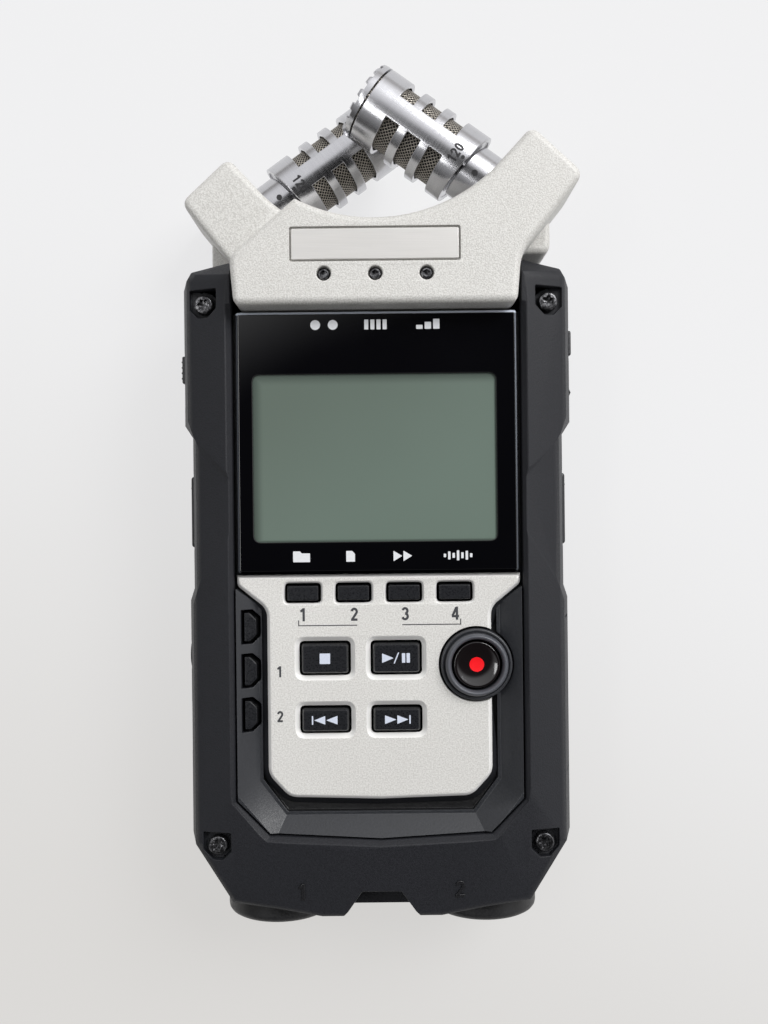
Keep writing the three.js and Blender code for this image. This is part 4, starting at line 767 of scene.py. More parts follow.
red = clouded("record_red", "gloss_black", (243, 14, 24), (250, 24, 34), 0.8, rough=0.3, swing=0.08,
              Coat_Weight=0.5, Coat_Roughness=0.05)
dot = put(turned(dished(dot_radius, 5, dot_lift), 48), ring_x, ring_y)
finished("record_dot", joined([dot], face_up), red, "record_key")


# Microphone head
# Two mouldings of one shape, front and back, painted satin silver with a fine sandy grain. Each ends in
# an arm that holds a microphone, and three hex screws pull them together under a bare name plate.
sand = Finish("head_silver", "silver_paint", Metallic=0.1, Specular_IOR_Level=0.45)
grains = sand.speckle(0.24)
clouds = sand.noise(9.0, 3.0)
sand.set("Base Color", sand.blend(grains * 0.85 + clouds * 0.15, srgb(191, 189, 184), srgb(223, 222, 218)))
sand.set("Roughness", 0.42 + grains * 0.16)
sand.bump(grains, 0.018)

head_middle, head_foot, head_top, head_edge = 18.4, 18.55, 34.6, 1.15
shoulder_x, shoulder_y, chin_x, chin_y = 24.5, 39.65, 23.8, 31.5
arm_out, arm_in = (35.15, 53.0), (26.5, 61.05)
dip_radius, dip_y, dip_half, dip_steps, dip_end = 29, 75.05, 13.4, 61, -45
plate_y, plate_wide, plate_tall, plate_gap = 41.45, 28.0, 5.2, 0.3
bolt_x, bolt_y, bolt_hole = (-8.6, 0, 8.6), 36.55, 1.2

dip_start = math.degrees(math.acos(dip_half / dip_radius)) - 180
dip = arc(0, dip_y, dip_radius, dip_radius, dip_start, dip_end, dip_steps)
head_corners = [(-shoulder_x, shoulder_y), *dip, arm_in, arm_out, (shoulder_x, shoulder_y), (chin_x, chin_y),
                (-chin_x, chin_y)]
head_reach = [1.6, 0.3, *[along_curve] * (dip_steps - 2), 0.3, 1.9, 1.9, 2.2, 1.5, 1.5]
head_plan = outline_of(head_corners, head_reach, 8)
arm_dip = [point for point in dip if point[0] > 14.2]
arm_corners = [(14.0, 49.62), *arm_dip, arm_in, arm_out, (25.1, 40.4)]
arm_plan = outline_of(arm_corners, [0.2, *[along_curve] * len(arm_dip), 1.9, 1.9, 0.3], 8)
arm_under = [(1.3, 17.0), (0.72, 17.08), (0.25, 17.4), (0.04, 17.9), (0, 18.5), (0.02, 19.2)]
neck_y, neck_tall, neck_corner, neck_reach = 44.8, 6.8, 2.0, 30.6
neck_rim = [(1.0, 0.0), (0.5, 0.13), (0.13, 0.5), (0, 1.0)]


def neck(low_x, high_x, low, high):
    """Ledge below an arm: a rounded block with soft rims."""
    plan = outline_of(box_outline((low_x + high_x) / 2, neck_y, high_x - low_x, neck_tall), neck_corner, 8)
    rims = [(inset, low + rise) for inset, rise in neck_rim]
    return slab(plan, rims + [(inset, high - rise) for inset, rise in neck_rim[::-1]])


head_rim = [(0.12, head_foot), (0, 18.7)] + soft_rim(19.0, head_top, head_edge, 8)
plate_rim = [(-0.12, head_top), (-0.03, 34.57), (0, 34.48), (0, 33.85)]
plate_box = box_outline(0, plate_y, plate_wide + 2 * plate_gap, plate_tall + 2 * plate_gap)
bolt_rim = [(-0.22, head_top), (-0.16, 34.58), (-0.04, 34.5), (0, 34.38), (0, 32.3)]
head_holes = [(outline_of(plate_box, 0.45, 4), plate_rim, False)]
head_holes += [(disc_at(x, bolt_y, bolt_hole, 40), bolt_rim, False) for x in bolt_x]
arm = slab(arm_plan, arm_under)
front_half = slab(head_plan, head_rim, head_holes) + arm + neck(18, neck_reach, 16.9, 26)
finished("head_front_skin", closed(front_half), sand, "recorder", "head_front")

to_middle = Matrix.Translation((0, 0, head_middle))
half_turn = to_middle @ Matrix.Rotation(math.pi, 4, "Y") @ to_middle.inverted()
rear_half = [moved(part, half_turn) for part in slab(head_plan, head_rim) + arm]
rear_half += neck(-neck_reach, -15, 4.6, 13) + neck(15, neck_reach, 4.6, 16.6)
finished("head_rear_skin", closed(rear_half), sand, "recorder", "head_rear")

brushed = (6.0, 0.06, 1.0)
plate_metal = clouded("plate_metal", "bright_aluminium", (208, 206, 202), (224, 222, 219), brushed, rough=0.3,
                      swing=0.14, detail=3.0, relief=0.003, Metallic=0.55)
plate_plan = outline_of(box_outline(0, plate_y, plate_wide, plate_tall), 0.3, 4)
plate = closed(slab(plate_plan, soft_rim(34.0, 34.5, 0.12, 3)))
finished("plate", plate, plate_metal, "recorder", "name_plate")


# Screws
# Blackened steel screws: three small ones with a hex socket in the head, and four larger ones with a
# six-lobed socket in the frame's pockets. Brighter metal shows where they are scuffed.
steel = Finish("black_steel", "black_steel", Metallic=0.9)
scuff = steel.noise(0.5, 4.0)
steel.set("Base Color", steel.blend(steel.band(scuff, 0.4, 0.7), srgb(62, 62, 64), srgb(128, 128, 130)))
steel.set("Roughness", 0.2 + scuff * 0.2)
steel.bump(scuff, 0.004)
screw_sides = 72
bolt_radius, bolt_foot, bolt_top, bolt_socket, bolt_deep = 0.95, 32.2, 34.0, 0.52, 0.7
screw_radius, screw_foot, screw_top, screw_socket, lobe_swing, screw_deep = 1.67, 26.4, 27.8, 0.86, 0.15, 0.8
screw_turn = math.degrees(0.4)
corner_screws = {"upper_left": (-29.8, 32.8), "upper_right": (29.8, 32.8),
                 "lower_left": (-28.3, -60.7), "lower_right": (28.3, -60.7)}


def socket_screw(radius, low, high, socket, deep):
    """Screw head with a socket, as a turned shape: from the shank's end up over the rim and down the socket
    to its floor. socket is the socket's radius at each angle."""
    soft = 0.14 * radius
    rim = [(radius, high - 1.6 * soft), (radius - 0.25 * soft, high - 0.7 * soft),
           (radius - soft, high - 0.12 * soft), (radius - 1.6 * soft, high)]
    hollow = [(socket * 1.1, high), (socket, high - 0.08), (socket, high - deep),
              (0, high - deep - 0.1 * radius)]
    return turned([(0, low), (radius, low), *rim, *hollow], screw_sides)


def carried(x, y, z, degrees, axis):
    """Matrix that turns a thing about an axis and then carries it to its place."""
    return Matrix.Translation((x, y, z)) @ Matrix.Rotation(math.radians(degrees), 4, axis)


angle = full_turn(screw_sides)
# The distance to the nearest of six flats, and a radius that swings by a cosine of six turns.
hexagon = bolt_socket / np.cos((angle + math.pi / 6) % (math.pi / 3) - math.pi / 6)
lobes = screw_socket + lobe_swing * np.cos(6 * angle)
for i, x in enumerate(bolt_x):
    bolt = put(socket_screw(bolt_radius, bolt_foot, bolt_top, hexagon, bolt_deep), x, bolt_y)
    finished(f"head_bolt_{i + 1}", closed([bolt]), steel, "recorder", f"head_screw_{i + 1}")
for i, (corner, (x, y)) in enumerate(corner_screws.items()):
    screw = socket_screw(screw_radius, screw_foot, screw_top, lobes, screw_deep)
    screw = closed([moved(screw, carried(x, y, 0, screw_turn * i, "Z"))])
    finished(f"bolt_{corner}", screw, steel, "recorder", f"frame_screw_{corner}")


# Microphones
# Each one is a turned aluminium barrel with rows of slots over a sleeve of fine wire cloth, closed by a
# toothed ring, on a stem that is fixed in its arm. The barrel turns half round on a tilted seam.
aluminium = Finish("turned_aluminium", "bright_aluminium", Metallic=1.0)
turning = aluminium.add("ShaderNodeUVMap", {}, {})
turning = aluminium.add("ShaderNodeMapping", {}, {"Vector": turning, "Scale": (0.02, 3.2, 1.0)})
turning = aluminium.noise(1.0, 1.0, turning)
bright = turning * 0.5 + aluminium.noise(4.0, 2.0) * 0.5
aluminium.set("Base Color", aluminium.blend(bright, srgb(187, 187, 190), srgb(211, 211, 214)))
aluminium.set("Roughness", 0.17 + turning * 0.1)
aluminium.bump(turning, 0.0004)

thread_pitch = 0.5
wire = Finish("wire_cloth", "wire_mesh")
weave = wire.add("ShaderNodeSeparateXYZ", {}, {"Vector": wire.add("ShaderNodeUVMap", {}, {})})
slants = weave + weave.output("Y"), weave - weave.output("Y")
waves = [wire.math("SINE", slant * (math.pi / thread_pitch * math.sqrt(0.5))) for slant in slants]
threads = wire.least(*(wire.math("ABSOLUTE", wave) for wave in waves))
hole = wire.band(threads, 0.3, 0.45)
wire.set("Base Color", wire.blend(hole, srgb(188, 181, 170), srgb(6, 5, 4)))
wire.set("Roughness", 0.35 + hole * 0.5)
wire.set("Metallic", 0.9 - hole * 0.9)
wire.bump((1 - threads) + waves[0] * waves[1] * 0.3, 0.09)

barrel_angle = math.radians(35.7)
ahead = Vector((-math.cos(barrel_angle), math.sin(barrel_angle), 0))
outward = Vector((0, 0, 1))
mic_x, mic_y, mic_z = 15.78, 56.0, 26.3
mic_axes = Matrix((outward, ahead.cross(outward), ahead)).transposed().to_4x4()
right_place = Matrix.Translation((mic_x, mic_y, mic_z)) @ mic_axes
places = {"right": right_place, "left": half_turn @ right_place}
seam_tilt = math.radians(7.5)
barrel_radius, barrel_wall, barrel_bevel, barrel_steps = 6.8, 0.8, 0.12, 120
# The heights of the barrel's rows. The slots lie in rows 2, 4 and 6.
barrel_rows = [2.0, 3.85, 6.55, 8.25, 10.95, 12.65, 15.35, 17.5, 19.65]
slot_rows, slot_start, slot_end = (2, 4, 6), 18, 162
tooth_count, tooth_tall, teeth_foot, teeth_rim = 16, 0.62, 19.95, 20.9
floor_radius, sleeve_radius, stem_radius, stem_long, pin_radius = 6.1, 5.7, 5.15, 9.75, 1.6
number_y, number_size, dot_y, stem_dot_y = 2.25, 1.75, 0.75, -2.2


def wrapped_uv(mesh, place, radius):
    """Map in millimetres: u runs round the microphone's axis at its radius, and v along it. On faces across
    the axis u and v are the two directions square to it."""
    spots = np.zeros((len(mesh.vertices), 3))
    mesh.vertices.foreach_get("co", spots.ravel())
    back = np.array(place.inverted())
    local = (spots * 1000) @ back[:3, :3].T + back[:3, 3]
    corner = np.zeros(len(mesh.loops), int)
    mesh.loops.foreach_get("vertex_index", corner)
    angle = np.arctan2(local[:, 1], local[:, 0])[corner]
    face = np.repeat(np.arange(len(mesh.polygons)), [len(polygon.vertices) for polygon in mesh.polygons])
    start = np.zeros(len(mesh.polygons), int)
    mesh.polygons.foreach_get("loop_start", start)
    first = angle[start][face]
    angle = first + (angle - first + math.pi) % (2 * math.pi) - math.pi
    flat = np.zeros(len(mesh.polygons) * 3)
    mesh.polygons.foreach_get("normal", flat)
    frontal = np.abs((flat.reshape(-1, 3) @ back[:3, :3].T)[:, 2])[face] > 0.8
    wrap = np.column_stack([angle * radius, local[corner, 2]])
    wrap[frontal] = local[corner][frontal][:, :2]
    mesh.uv_layers.new(name="wrap").data.foreach_set("uv", wrap.ravel())
    return mesh


def seam_height(radius, gap, sides=96):
    """Height of the tilted seam plane at a radius, for each angle: (gap - y sin tilt) / cos tilt."""
    return (gap - radius * np.sin(full_turn(sides)) * math.sin(seam_tilt)) / math.cos(seam_tilt)


def barrel_shell():
    """Tube on a grid of angle and height. Cells inside the slots are left out, and the wall is given its
    thickness afterwards. The first row follows the tilted seam."""
    heights = [seam_height(barrel_radius, 0.06, barrel_steps), *barrel_rows]
    points, faces = turned([(barrel_radius, height) for height in heights], barrel_steps)
    row, column = np.divmod(np.arange(len(faces)), barrel_steps)
    degrees = column * 360 // barrel_steps % 180
    slotted = np.isin(row, slot_rows) & (degrees >= slot_start) & (degrees < slot_end)
    return points, np.array(faces)[~slotted].tolist()


def toothed_ring():
    """Front ring: a wall whose top rises and falls round it, so that sixteen rounded teeth stand up."""
    sides = 384
    wave = np.clip(0.5 - 2.4 * np.cos(tooth_count * full_turn(sides)), 0, 1)
    tooth = tooth_tall * wave ** 0.6
    rim = teeth_rim
    outside = [(barrel_radius, teeth_foot), (barrel_radius, rim - 0.1),
               (6.78 - 0.02 * wave, rim + 0.55 * tooth), (6.7 - 0.1 * wave, rim + 0.86 * tooth),
               (6.5 - 0.06 * wave, rim + tooth)]
    inside = [(6.2 + 0.04 * wave, rim + tooth), (6.05, rim + 0.8 * tooth), (6.0, rim - 0.2)]
    return turned([(6.0, teeth_foot), *outside, *inside], sides, True)


def wrapped(part, facing, height, radius):
    """Bends flat lettering round the barrel: its width becomes angle from the facing side, and it stands
    with its top towards the front."""
    points, faces = part
    angle = math.radians(facing) + (points[:, 0] - 0.4) / radius
    reach = radius + points[:, 2]
    return np.column_stack([reach * np.cos(angle), reach * np.sin(angle), height + points[:, 1]]), faces


black_ink = clouded("black_ink", "bright_aluminium", (24, 24, 26), (34, 34, 36), 0.3, rough=0.5)
floor_profile = [(0, 0.3), (floor_radius, seam_height(floor_radius, 0.3, 64)), (floor_radius, 2.6), (0, 2.6)]
sleeve_profile = [(5.3, 2.9), (sleeve_radius, 2.9), (sleeve_radius, 20.6), (5.66, 20.8), (5.5, 20.9),
                  (0, 20.95), (0, 20.5), (5.3, 20.5)]
stem_profile = [(0, -stem_long), (stem_radius, -stem_long), (stem_radius, seam_height(stem_radius, -0.25)),
                (stem_radius * 0.975, seam_height(stem_radius, -0.12)), (0, -0.12)]
pin = moved(turned([(0, -0.3), (pin_radius, -0.3), (pin_radius, 1.7), (0, 1.7)], 32),
            Matrix.Rotation(-seam_tilt, 4, "X"))


def set_on(place, radius, parts):
    """Closed mesh of parts carried to a microphone's place, with its map at a radius."""
    return wrapped_uv(closed([moved(part, place) for part in parts]), place, radius)


for side, place in places.items():
    body = "microphone_" + side
    shell = wrapped_uv(joined([moved(barrel_shell(), place)]), place, barrel_radius)
    barrel = finished("barrel_" + side, shell, aluminium, body, "mic_barrel_" + side)
    barrel.modifiers.clear()
    wall = barrel.modifiers.new("wall", "SOLIDIFY")
    wall.thickness, wall.offset = barrel_wall / 1000, -1
    edge = barrel.modifiers.new("edges", "BEVEL")
    edge.width, edge.segments = barrel_bevel / 1000, 2
    edge.limit_method, edge.angle_limit = "ANGLE", math.radians(50)
    barrel.modifiers.new("flats", "WEIGHTED_NORMAL").keep_sharp = False

    floor = set_on(place, floor_radius, [turned(floor_profile, 64)])
    finished("barrel_floor_" + side, floor, aluminium, body)
    sleeve = set_on(place, sleeve_radius, [turned(sleeve_profile, wrap=True)])
    finished("sleeve_" + side, sleeve, wire, body, "mic_mesh_" + side)
    teeth = set_on(place, barrel_radius, [toothed_ring()])
    finished("teeth_" + side, teeth, aluminium, body, "mic_cap_" + side, sharp=60)
    stem = set_on(place, stem_radius, [turned(stem_profile), pin])
    finished("stem_" + side, stem, aluminium, "recorder", "mic_stem_" + side)

    front = 0 if side == "right" else 189
    numbers = [wrapped(part, front + turn, number_y, barrel_radius + 0.02)
               for text, turn in (("120", 0), ("90", 180)) for part in inked(text, number_size, pen=0.2)]
    small_dot = filled([level(disc_at(0, 0, 0.33, 24), 0)])
    numbers += [wrapped(small_dot, front + turn, dot_y, barrel_radius + 0.03) for turn in (0, 180)]
    finished("numbers_" + side, joined([moved(part, place) for part in numbers]), black_ink, body)
    dot = wrapped(filled([level(disc_at(-0.5, 0, 0.52, 32), 0)]), front, stem_dot_y, stem_radius + 0.06)
    finished("stem_dot_" + side, joined([moved(dot, place)]), black_ink, "recorder")


# Combination jacks
# Two black sockets in the foot take round three-pin plugs and 6.35 mm plugs. Each is a turned rim with a
# deep ring groove, and a core face with three pin holes and metal springs round the middle bore.
jack_black = moulded("jack_black", "dark_plastic", (27, 27, 28), (35, 35, 36), 0.42,
                     grain=0.4, relief=0.005, shine=0.45)
contact = clouded("contact_metal", "bright_aluminium", (170, 168, 160), (206, 204, 198), 1.2, rough=0.22,
                  swing=0.15, detail=3.0, Metallic=1.0)
jack_x, jack_y, jack_z, jack_bore, core_radius = 18.5, -75.65, 15, 3.5, 6.1
pin_circle, pin_hole, spring_reach, spring_rise = 4.75, 0.82, 3.28, [(0, 2.4), (0, 9.0)]
rib_y, rib_step, rib_z = -73.6, 0.55, 4.5
jack_rim = [(7.9, 21.5), (7.9, 8.0), (9.5, 8.0), (9.6, 7.85), (9.6, 1.3), (9.52, 0.8), (9.2, 0.35),
            (8.75, 0.08), (8.68, 0.05), (8.6, 0.2), (8.6, 6.8), (core_radius, 6.8), (core_radius, 6.0),
            (jack_bore, 6.0), (jack_bore, 14.0), (0, 14.0), (0, 21.5)]
core_rim = [(0, 6.4), (0, 1.7), (0.08, 1.5), (0.25, 1.4)]
pin_wall = [(-0.12, 1.4), (0, 1.52), (0, 5.5)]
bore_wall = [(-0.4, 1.4), (-0.1, 1.55), (0, 1.9), (0, 6.4)]
pin_tube = [(0.62, 2.2), (0.8, 2.2), (0.8, 5.0), (0.62, 5.0)]
pin_spots = arc(0, 0, pin_circle, pin_circle, 30, 270, 3)
core_holes = [(disc_at(x, y, pin_hole), pin_wall, False) for x, y in pin_spots]
core_holes.append((disc_at(0, 0, jack_bore, 64), bore_wall, True))


def strip(wide, tall, corner, profile, x=0, y=0, steps=3):
    """Small bar with rounded corners."""
    return slab(outline_of(box_outline(x, y, wide, tall), corner, steps), profile)


for i, x in enumerate((-jack_x, jack_x)):
    place = carried(x, jack_y, jack_z, -90, "X")
    parts = [turned(jack_rim)] + slab(disc_at(0, 0, core_radius, 96), core_rim, core_holes)
    jack = closed([moved(part, place) for part in parts])
    finished(f"jack_{i + 1}", jack, jack_black, "recorder", f"combo_jack_{i + 1}")
    springs = []
    for turn in (90, 210, 330):
        aim = carried(0, 0, 0, turn, "Z") @ Matrix.Translation((0, spring_reach, 0))
        springs += [moved(part, place @ aim) for part in strip(1.1, 0.25, 0.08, spring_rise, steps=2)]
    springs += [moved(put(turned(pin_tube, 24, True), *spot), place) for spot in pin_spots]
    finished(f"jack_contacts_{i + 1}", closed(springs), contact, "recorder")
    latch = f"jack_latch_{i + 1}"
    copied(latch, key_black, latch, bevel=0.25)
    ribs = [part for k in range(3) for part in
            strip(4.4, 0.24, 0.1, soft_rim(rib_z, rib_z + 0.26, 0.1, 2), x, rib_y + rib_step * k, 2)]
    finished(f"latch_ribs_{i + 1}", closed(ribs), key_black, latch)


# Side controls and sockets
# Satin black rockers, a power slide, a ribbed scroll wheel and a menu key stand in windows of the walls.
# Beside them are the headphone and data sockets and the card's door. A microphone socket is in the back,
# and the power inlet is in the foot.
side_bevels = {"menu_key": 0.4, "power_switch": 0.3, "volume_rocker": 0.55, "level_rocker": 0.55,
               "scroll_wheel": 0.1}
for node, width in side_bevels.items():
    copied(node, key_black, node, bevel=width)
wall_z, rocker_face, plus_y, minus_y = 15.1, 34.2, 1.4, -7.4
sign_long, sign_wide, sign_corner = 1.5, 0.34, 0.15
slide_face, slide_y, slide_step, slide_ribs = 35.6, 21.5, 1.0, 4


def upright(parts, side, x, y):
    """Turns parts that lie in the XY plane so that they stand in a side wall, looking out of it, with
    their top towards the front face."""
    out, up = Vector((side, 0, 0)), Vector((0, 0, 1))
    turn = Matrix((up.cross(out), up, out)).transposed().to_4x4()
    return [moved(part, Matrix.Translation((side * x, y, wall_z)) @ turn) for part in parts]


for side, name in ((-1, "volume_rocker"), (1, "level_rocker")):
    bar = strip(sign_long, sign_wide, sign_corner, soft_rim(-0.1, 0.16, 0.1, 2))
    post = strip(sign_wide, sign_long, sign_corner, soft_rim(-0.1, 0.17, 0.1, 2))
    signs = upright(bar + post, side, rocker_face, plus_y) + upright(bar, side, rocker_face, minus_y)
    finished(name + "_marks", closed(signs), key_black, name)
rib = strip(0.36, 2.6, sign_corner, soft_rim(-0.1, 0.2, 0.12, 2))
ribs = [part for k in range(slide_ribs) for part in upright(rib, -1, slide_face, slide_y + slide_step * k)]
finished("switch_ribs", closed(ribs), key_black, "power_switch")

socket_lip = [(1.85, 0.35), (2.0, 0.12)]
socket_profile = [(1.85, 9.0), *socket_lip, (2.25, 0.02), (2.75, 0.0), (2.93, 0.08), (3.0, 0.3), (3.0, 9.0)]
socket_end = [(0, 9.0), (3.0, 9.0), (3.0, 9.6), (0, 9.6)]
mini_profile = [(1.85, 7.5), *socket_lip, (2.3, 0.02), (3.1, 0.0), (3.32, 0.08), (3.4, 0.3), (3.4, 9.0),
                (0, 9.0), (0, 7.5)]
ring_contact = [(1.82, 0.9), (1.82, 2.6), (1.55, 2.6), (1.55, 0.9)]
inlet_pin = [(0, 8.6), (0.8, 8.6), (0.8, 1.4), (0.6, 1.1), (0, 1.0)]
headphone_place = carried(-34.4, -29, wall_z, 90, "Y")
mic_in_place = Matrix.Translation((17, 24, 0))
inlet_place = carried(0, -73.2, 6.5, -90, "X")
headphone = [turned(socket_profile, 64, True), turned(socket_end, 64)]
headphone = closed([moved(part, headphone_place) for part in headphone])
finished("headphone_face", headphone, jack_black, "recorder", "headphone_socket")
mic_in = closed([moved(turned(mini_profile, 64), mic_in_place)])
finished("mic_in_face", mic_in, jack_black, "recorder", "mic_in_socket")
rings = [moved(turned(ring_contact, 48, True), place) for place in (headphone_place, mic_in_place)]
finished("socket_rings", closed(rings), contact, "recorder")
copied("usb_socket", contact, bevel=0.12)
copied("dc_socket", jack_black, bevel=0.3)
finished("dc_pin", closed([moved(turned(inlet_pin, 32), inlet_place)]), contact, "recorder")
copied("card_door", rubber, "card_door", bevel=0.25)


# Things in the back
# A turned brass bush with a quarter inch thread takes a tripod's screw, and a small speaker sits behind
# the slots of the rear cover. Its black cloth shows through them.
bush_y, thread_radius, thread_deep, thread_start, thread_step = 14, 3.17, 0.22, 0.45, 0.32
speaker_x, speaker_y, cloth_thread = -17, 20, 0.3
brass = clouded("turned_brass", "brass", (186, 160, 104), (212, 190, 138), (0.25, 0.25, 4.0), rough=0.25,
                swing=0.16, detail=3.0, Metallic=1.0)
thread = [(thread_radius - thread_deep * (k % 2), thread_start + thread_step * k) for k in range(21)]
bush_rim = [(3.3, 0.2), (3.5, 0.0), (7.3, 0.0), (7.45, 0.12), (7.5, 0.3)]
bush_back = [(7.5, 1.5), (4.8, 1.5), (4.8, 8.4), (0, 8.4)]
bush = turned([(0, 7.2), (3.0, 7.2), *thread[::-1], *bush_rim, *bush_back])
finished("bush", closed([put(bush, 0, bush_y)]), brass, "recorder", "tripod_bush")

cloth = Finish("speaker_cloth", "black_steel", Specular_IOR_Level=0.2)
warp, weft = (cloth.math("SINE", cloth.along(axis, cloth_thread) * math.pi) for axis in "XY")
knots = warp * weft
yarn = cloth.band(knots, -0.6, 0.6)
cloth.set("Base Color", cloth.blend(yarn, srgb(14, 14, 15), srgb(38, 38, 40)))
cloth.set("Roughness", 0.85 - yarn * 0.1)
cloth.bump(knots, 0.05)
cone = [(0, 6.1), (8.5, 6.1), (8.5, 2.2), (8.4, 2.1), (7.4, 2.1), (7.0, 2.3), (6.4, 2.12), (2.6, 3.0),
        (2.2, 2.7), (0, 2.3)]
finished("speaker_face", closed([put(turned(cone), speaker_x, speaker_y)]), cloth, "recorder", "speaker")


# Inside
# Behind the doors lie two dry cells in plain printed wraps, a memory card with a bare label, and the
# green circuit board. The display module is a tin can, and the microphones' capsules are black steel.
wrap = Finish("cell_wrap", "cell_wrap", Metallic=0.5, Coat_Weight=0.3)
band_y, cell_x, cell_z = -8.1, 7.35, 9
grain = wrap.noise(0.8, 3.0)
black = wrap.blend(grain, srgb(44, 46, 52), srgb(54, 56, 62))
copper = wrap.blend(grain, srgb(186, 128, 74), srgb(200, 142, 86))
wrap.set("Base Color", wrap.blend(wrap.band(wrap.along("Y"), band_y - 0.1, band_y + 0.1), black, copper))
wrap.set("Roughness", 0.28 + grain * 0.1)
can = [(0, 0), (4.6, 0), (4.8, 0.12), (6.6, 0.12), (7.05, 0.4), (7.2, 0.9), (7.2, 49.1), (7.05, 49.6),
       (6.6, 49.88), (5.2, 49.88), (5.0, 49.6), (2.9, 49.6), (2.6, 49.9), (2.6, 50.85), (2.45, 51.0),
       (0, 51.0)]
for i, (x, y, turn) in enumerate(((-cell_x, -49.6, -90), (cell_x, 1.4, 90))):
    cell = moved(turned(can, 64), carried(x, y, cell_z, turn, "X"))
    finished(f"cell_{i + 1}", closed([cell]), wrap, "recorder", f"battery_{i + 1}")

card_black = Finish("card_black", "key_plastic")
across, upward = card_black.along("X"), card_black.along("Y")
label_left, label_right, label_low, label_high, label_edge = 3.0, 26.2, -46.0, -26.0, 0.2
label = card_black.least(card_black.band(across, label_left, label_left + label_edge),
                         card_black.band(across, label_right, label_right - label_edge),
                         card_black.band(upward, label_low, label_low + label_edge),
                         card_black.band(upward, label_high, label_high - label_edge))
fibre = card_black.noise(0.5, 3.0)
paper = card_black.blend(fibre, srgb(150, 158, 168), srgb(168, 175, 184))
card_black.set("Base Color", card_black.blend(label, srgb(28, 29, 33), paper))
card_black.set("Roughness", 0.4 + fibre * 0.15)
copied("memory_card", card_black, bevel=0.15)

board = Finish("circuit_board", "circuit")
tracks = board.add("ShaderNodeTexVoronoi", {"feature": "DISTANCE_TO_EDGE"},
                   {"Vector": board.place(2.4), "Scale": 1.0})
lane = board.band(tracks, 0.03, 0.06)
fibre = board.noise(0.4, 2.0)
resin = board.blend(fibre, srgb(22, 62, 40), srgb(30, 74, 48))
board.set("Base Color", board.blend(lane, srgb(62, 112, 70), resin))
board.set("Roughness", 0.35 + fibre * 0.15)
board.bump(lane, 0.03)
tin = clouded("module_tin", "display_screen", (150, 152, 154), (176, 178, 180), 2.0, rough=0.34, swing=0.2,
              detail=3.0, Metallic=0.9)
inner = {"main_board": board, "lcd_module": tin, "mic_capsule_right": steel, "mic_capsule_left": steel}
for node, finish in inner.items():
    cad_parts[node].data.materials.clear()
    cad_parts[node].data.materials.append(finish.material)


# Studio
# The recorder lies on a pale table under a soft lamp from the upper right. A thin lamp on the left draws the
# crescent in the record key's dish. The pale room is brighter on the right, and dark straight above, so that
# the window and the keys stay black.
table = Finish("pale_table", None, Roughness=0.9, Specular_IOR_Level=0.1)
table_reach = 3000
mottle = table.noise(60.0, 2.0)
table.set("Base Color", table.blend(mottle, srgb(237, 237, 237), srgb(240, 240, 240)))
# Painted shade: the table's glow is painted darker towards the lower left, round the recorder.
floor_shade_fade = table.band(table.along("Y") + table.along("X") * 0.4, -125.0, 45.0)
paper = table.blend(floor_shade_fade, srgb(216, 214, 211), srgb(239, 239, 240))
glow = table.add("ShaderNodeEmission", {}, {"Color": paper, "Strength": 1.0})
seen = table.add("ShaderNodeLightPath", {}, {}, "Is Camera Ray")
direct = seen + seen.output("Is Glossy Ray") + seen.output("Is Transmission Ray")
lit_table = Signal(table, table.shader.outputs[0])
surface = table.add("ShaderNodeMixShader", {}, {0: direct * 0.85, 1: lit_table, 2: glow})
table.feed(table.tree.nodes["Material Output"].inputs["Surface"], surface)
sheet = bpy.data.meshes.new("table")
sheet_points = [(x / 1000, y / 1000, 0) for x, y in box_outline(0, 0, 2 * table_reach, 2 * table_reach)]
sheet.from_pydata(sheet_points, [], [(0, 1, 2, 3)])
sheet.materials.append(table.material)
table_top = bpy.data.objects.new("table_top", sheet)
bpy.context.scene.collection.objects.link(table_top)

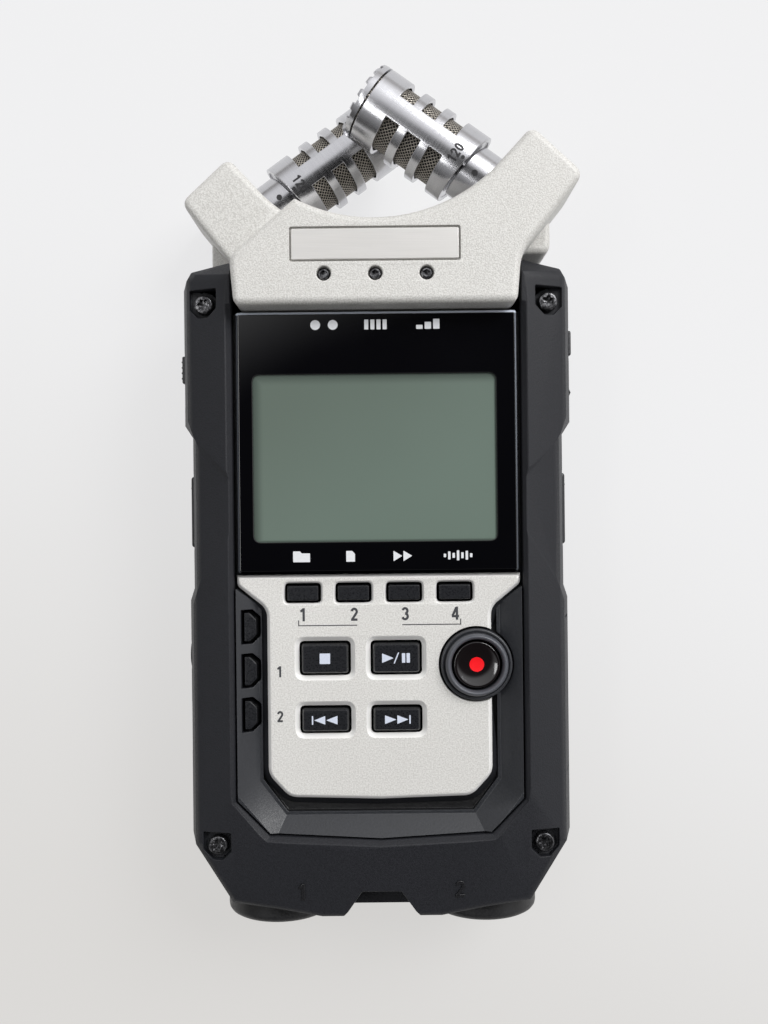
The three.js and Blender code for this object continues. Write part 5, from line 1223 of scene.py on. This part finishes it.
world = bpy.data.worlds.new("room")
bpy.context.scene.world = world
world.use_nodes = True
room = Nodes(world.node_tree)
room_strength = 0.78
facing = room.add("ShaderNodeTexCoord", {}, {}, "Generated")
east = room.add("ShaderNodeSeparateXYZ", {}, {"Vector": facing})
north, up = east.output("Y"), east.output("Z")
lean = 1 + (east * 0.6 + north * 0.7) * 0.9
overhead = Vector((0.15, -0.3, 1.0)).normalized()
apart = east * overhead.x + north * overhead.y + up * overhead.z
hood = room.band(apart, 0.83, 0.89, 1.0, 0.02)
sky = room.blend(room.band(up, 0.0, 0.7), (0.17, 0.155, 0.14, 1), (1.0, 1.0, 1.02, 1))
shade = room.add("ShaderNodeCombineColor", {}, {i: lean * hood for i in range(3)})
sky = room.blend(1.0, sky, shade, "MULTIPLY")
seen = room.add("ShaderNodeLightPath", {}, {}, "Is Camera Ray")
mirrored = seen.output("Is Glossy Ray") + seen.output("Is Transmission Ray")
direct = seen + mirrored * room.band(up, 0.16, 0.06)
backdrop = tuple(value / room_strength for value in srgb(239, 239, 239))
background = room.tree.nodes["Background"].inputs
background["Strength"].default_value = room_strength
room.feed(background["Color"], room.blend(direct, sky, backdrop))


def lamp_at(name, place, wide, tall, watts):
    """Soft rectangular lamp that looks at the recorder."""
    lamp = bpy.data.lights.new(name, "AREA")
    lamp.shape, lamp.size, lamp.size_y, lamp.energy = "RECTANGLE", wide / 1000, tall / 1000, watts
    holder = bpy.data.objects.new(name, lamp)
    holder.location = [step / 1000 for step in place]
    holder.rotation_euler = holder.location.to_track_quat("Z", "Y").to_euler()
    bpy.context.scene.collection.objects.link(holder)


lamp_at("soft_lamp", (790, 720, 1100), 720, 720, watts=16.2)
lamp_at("side_lamp", (-245, 20, 530), 300, 65, watts=0.4)

camera_place, camera_turn, lens, sensor = (1.05, -3.35, 215), -0.613, 38.07, 36
camera = bpy.data.cameras.new("camera")
camera.lens, camera.sensor_width, camera.clip_start = lens, sensor, 0.01
viewer = bpy.data.objects.new("camera", camera)
viewer.location = [step / 1000 for step in camera_place]
viewer.rotation_euler = (0, 0, math.radians(camera_turn))
bpy.context.scene.collection.objects.link(viewer)
bpy.context.scene.camera = viewer
bpy.context.scene.view_settings.view_transform = "Standard"
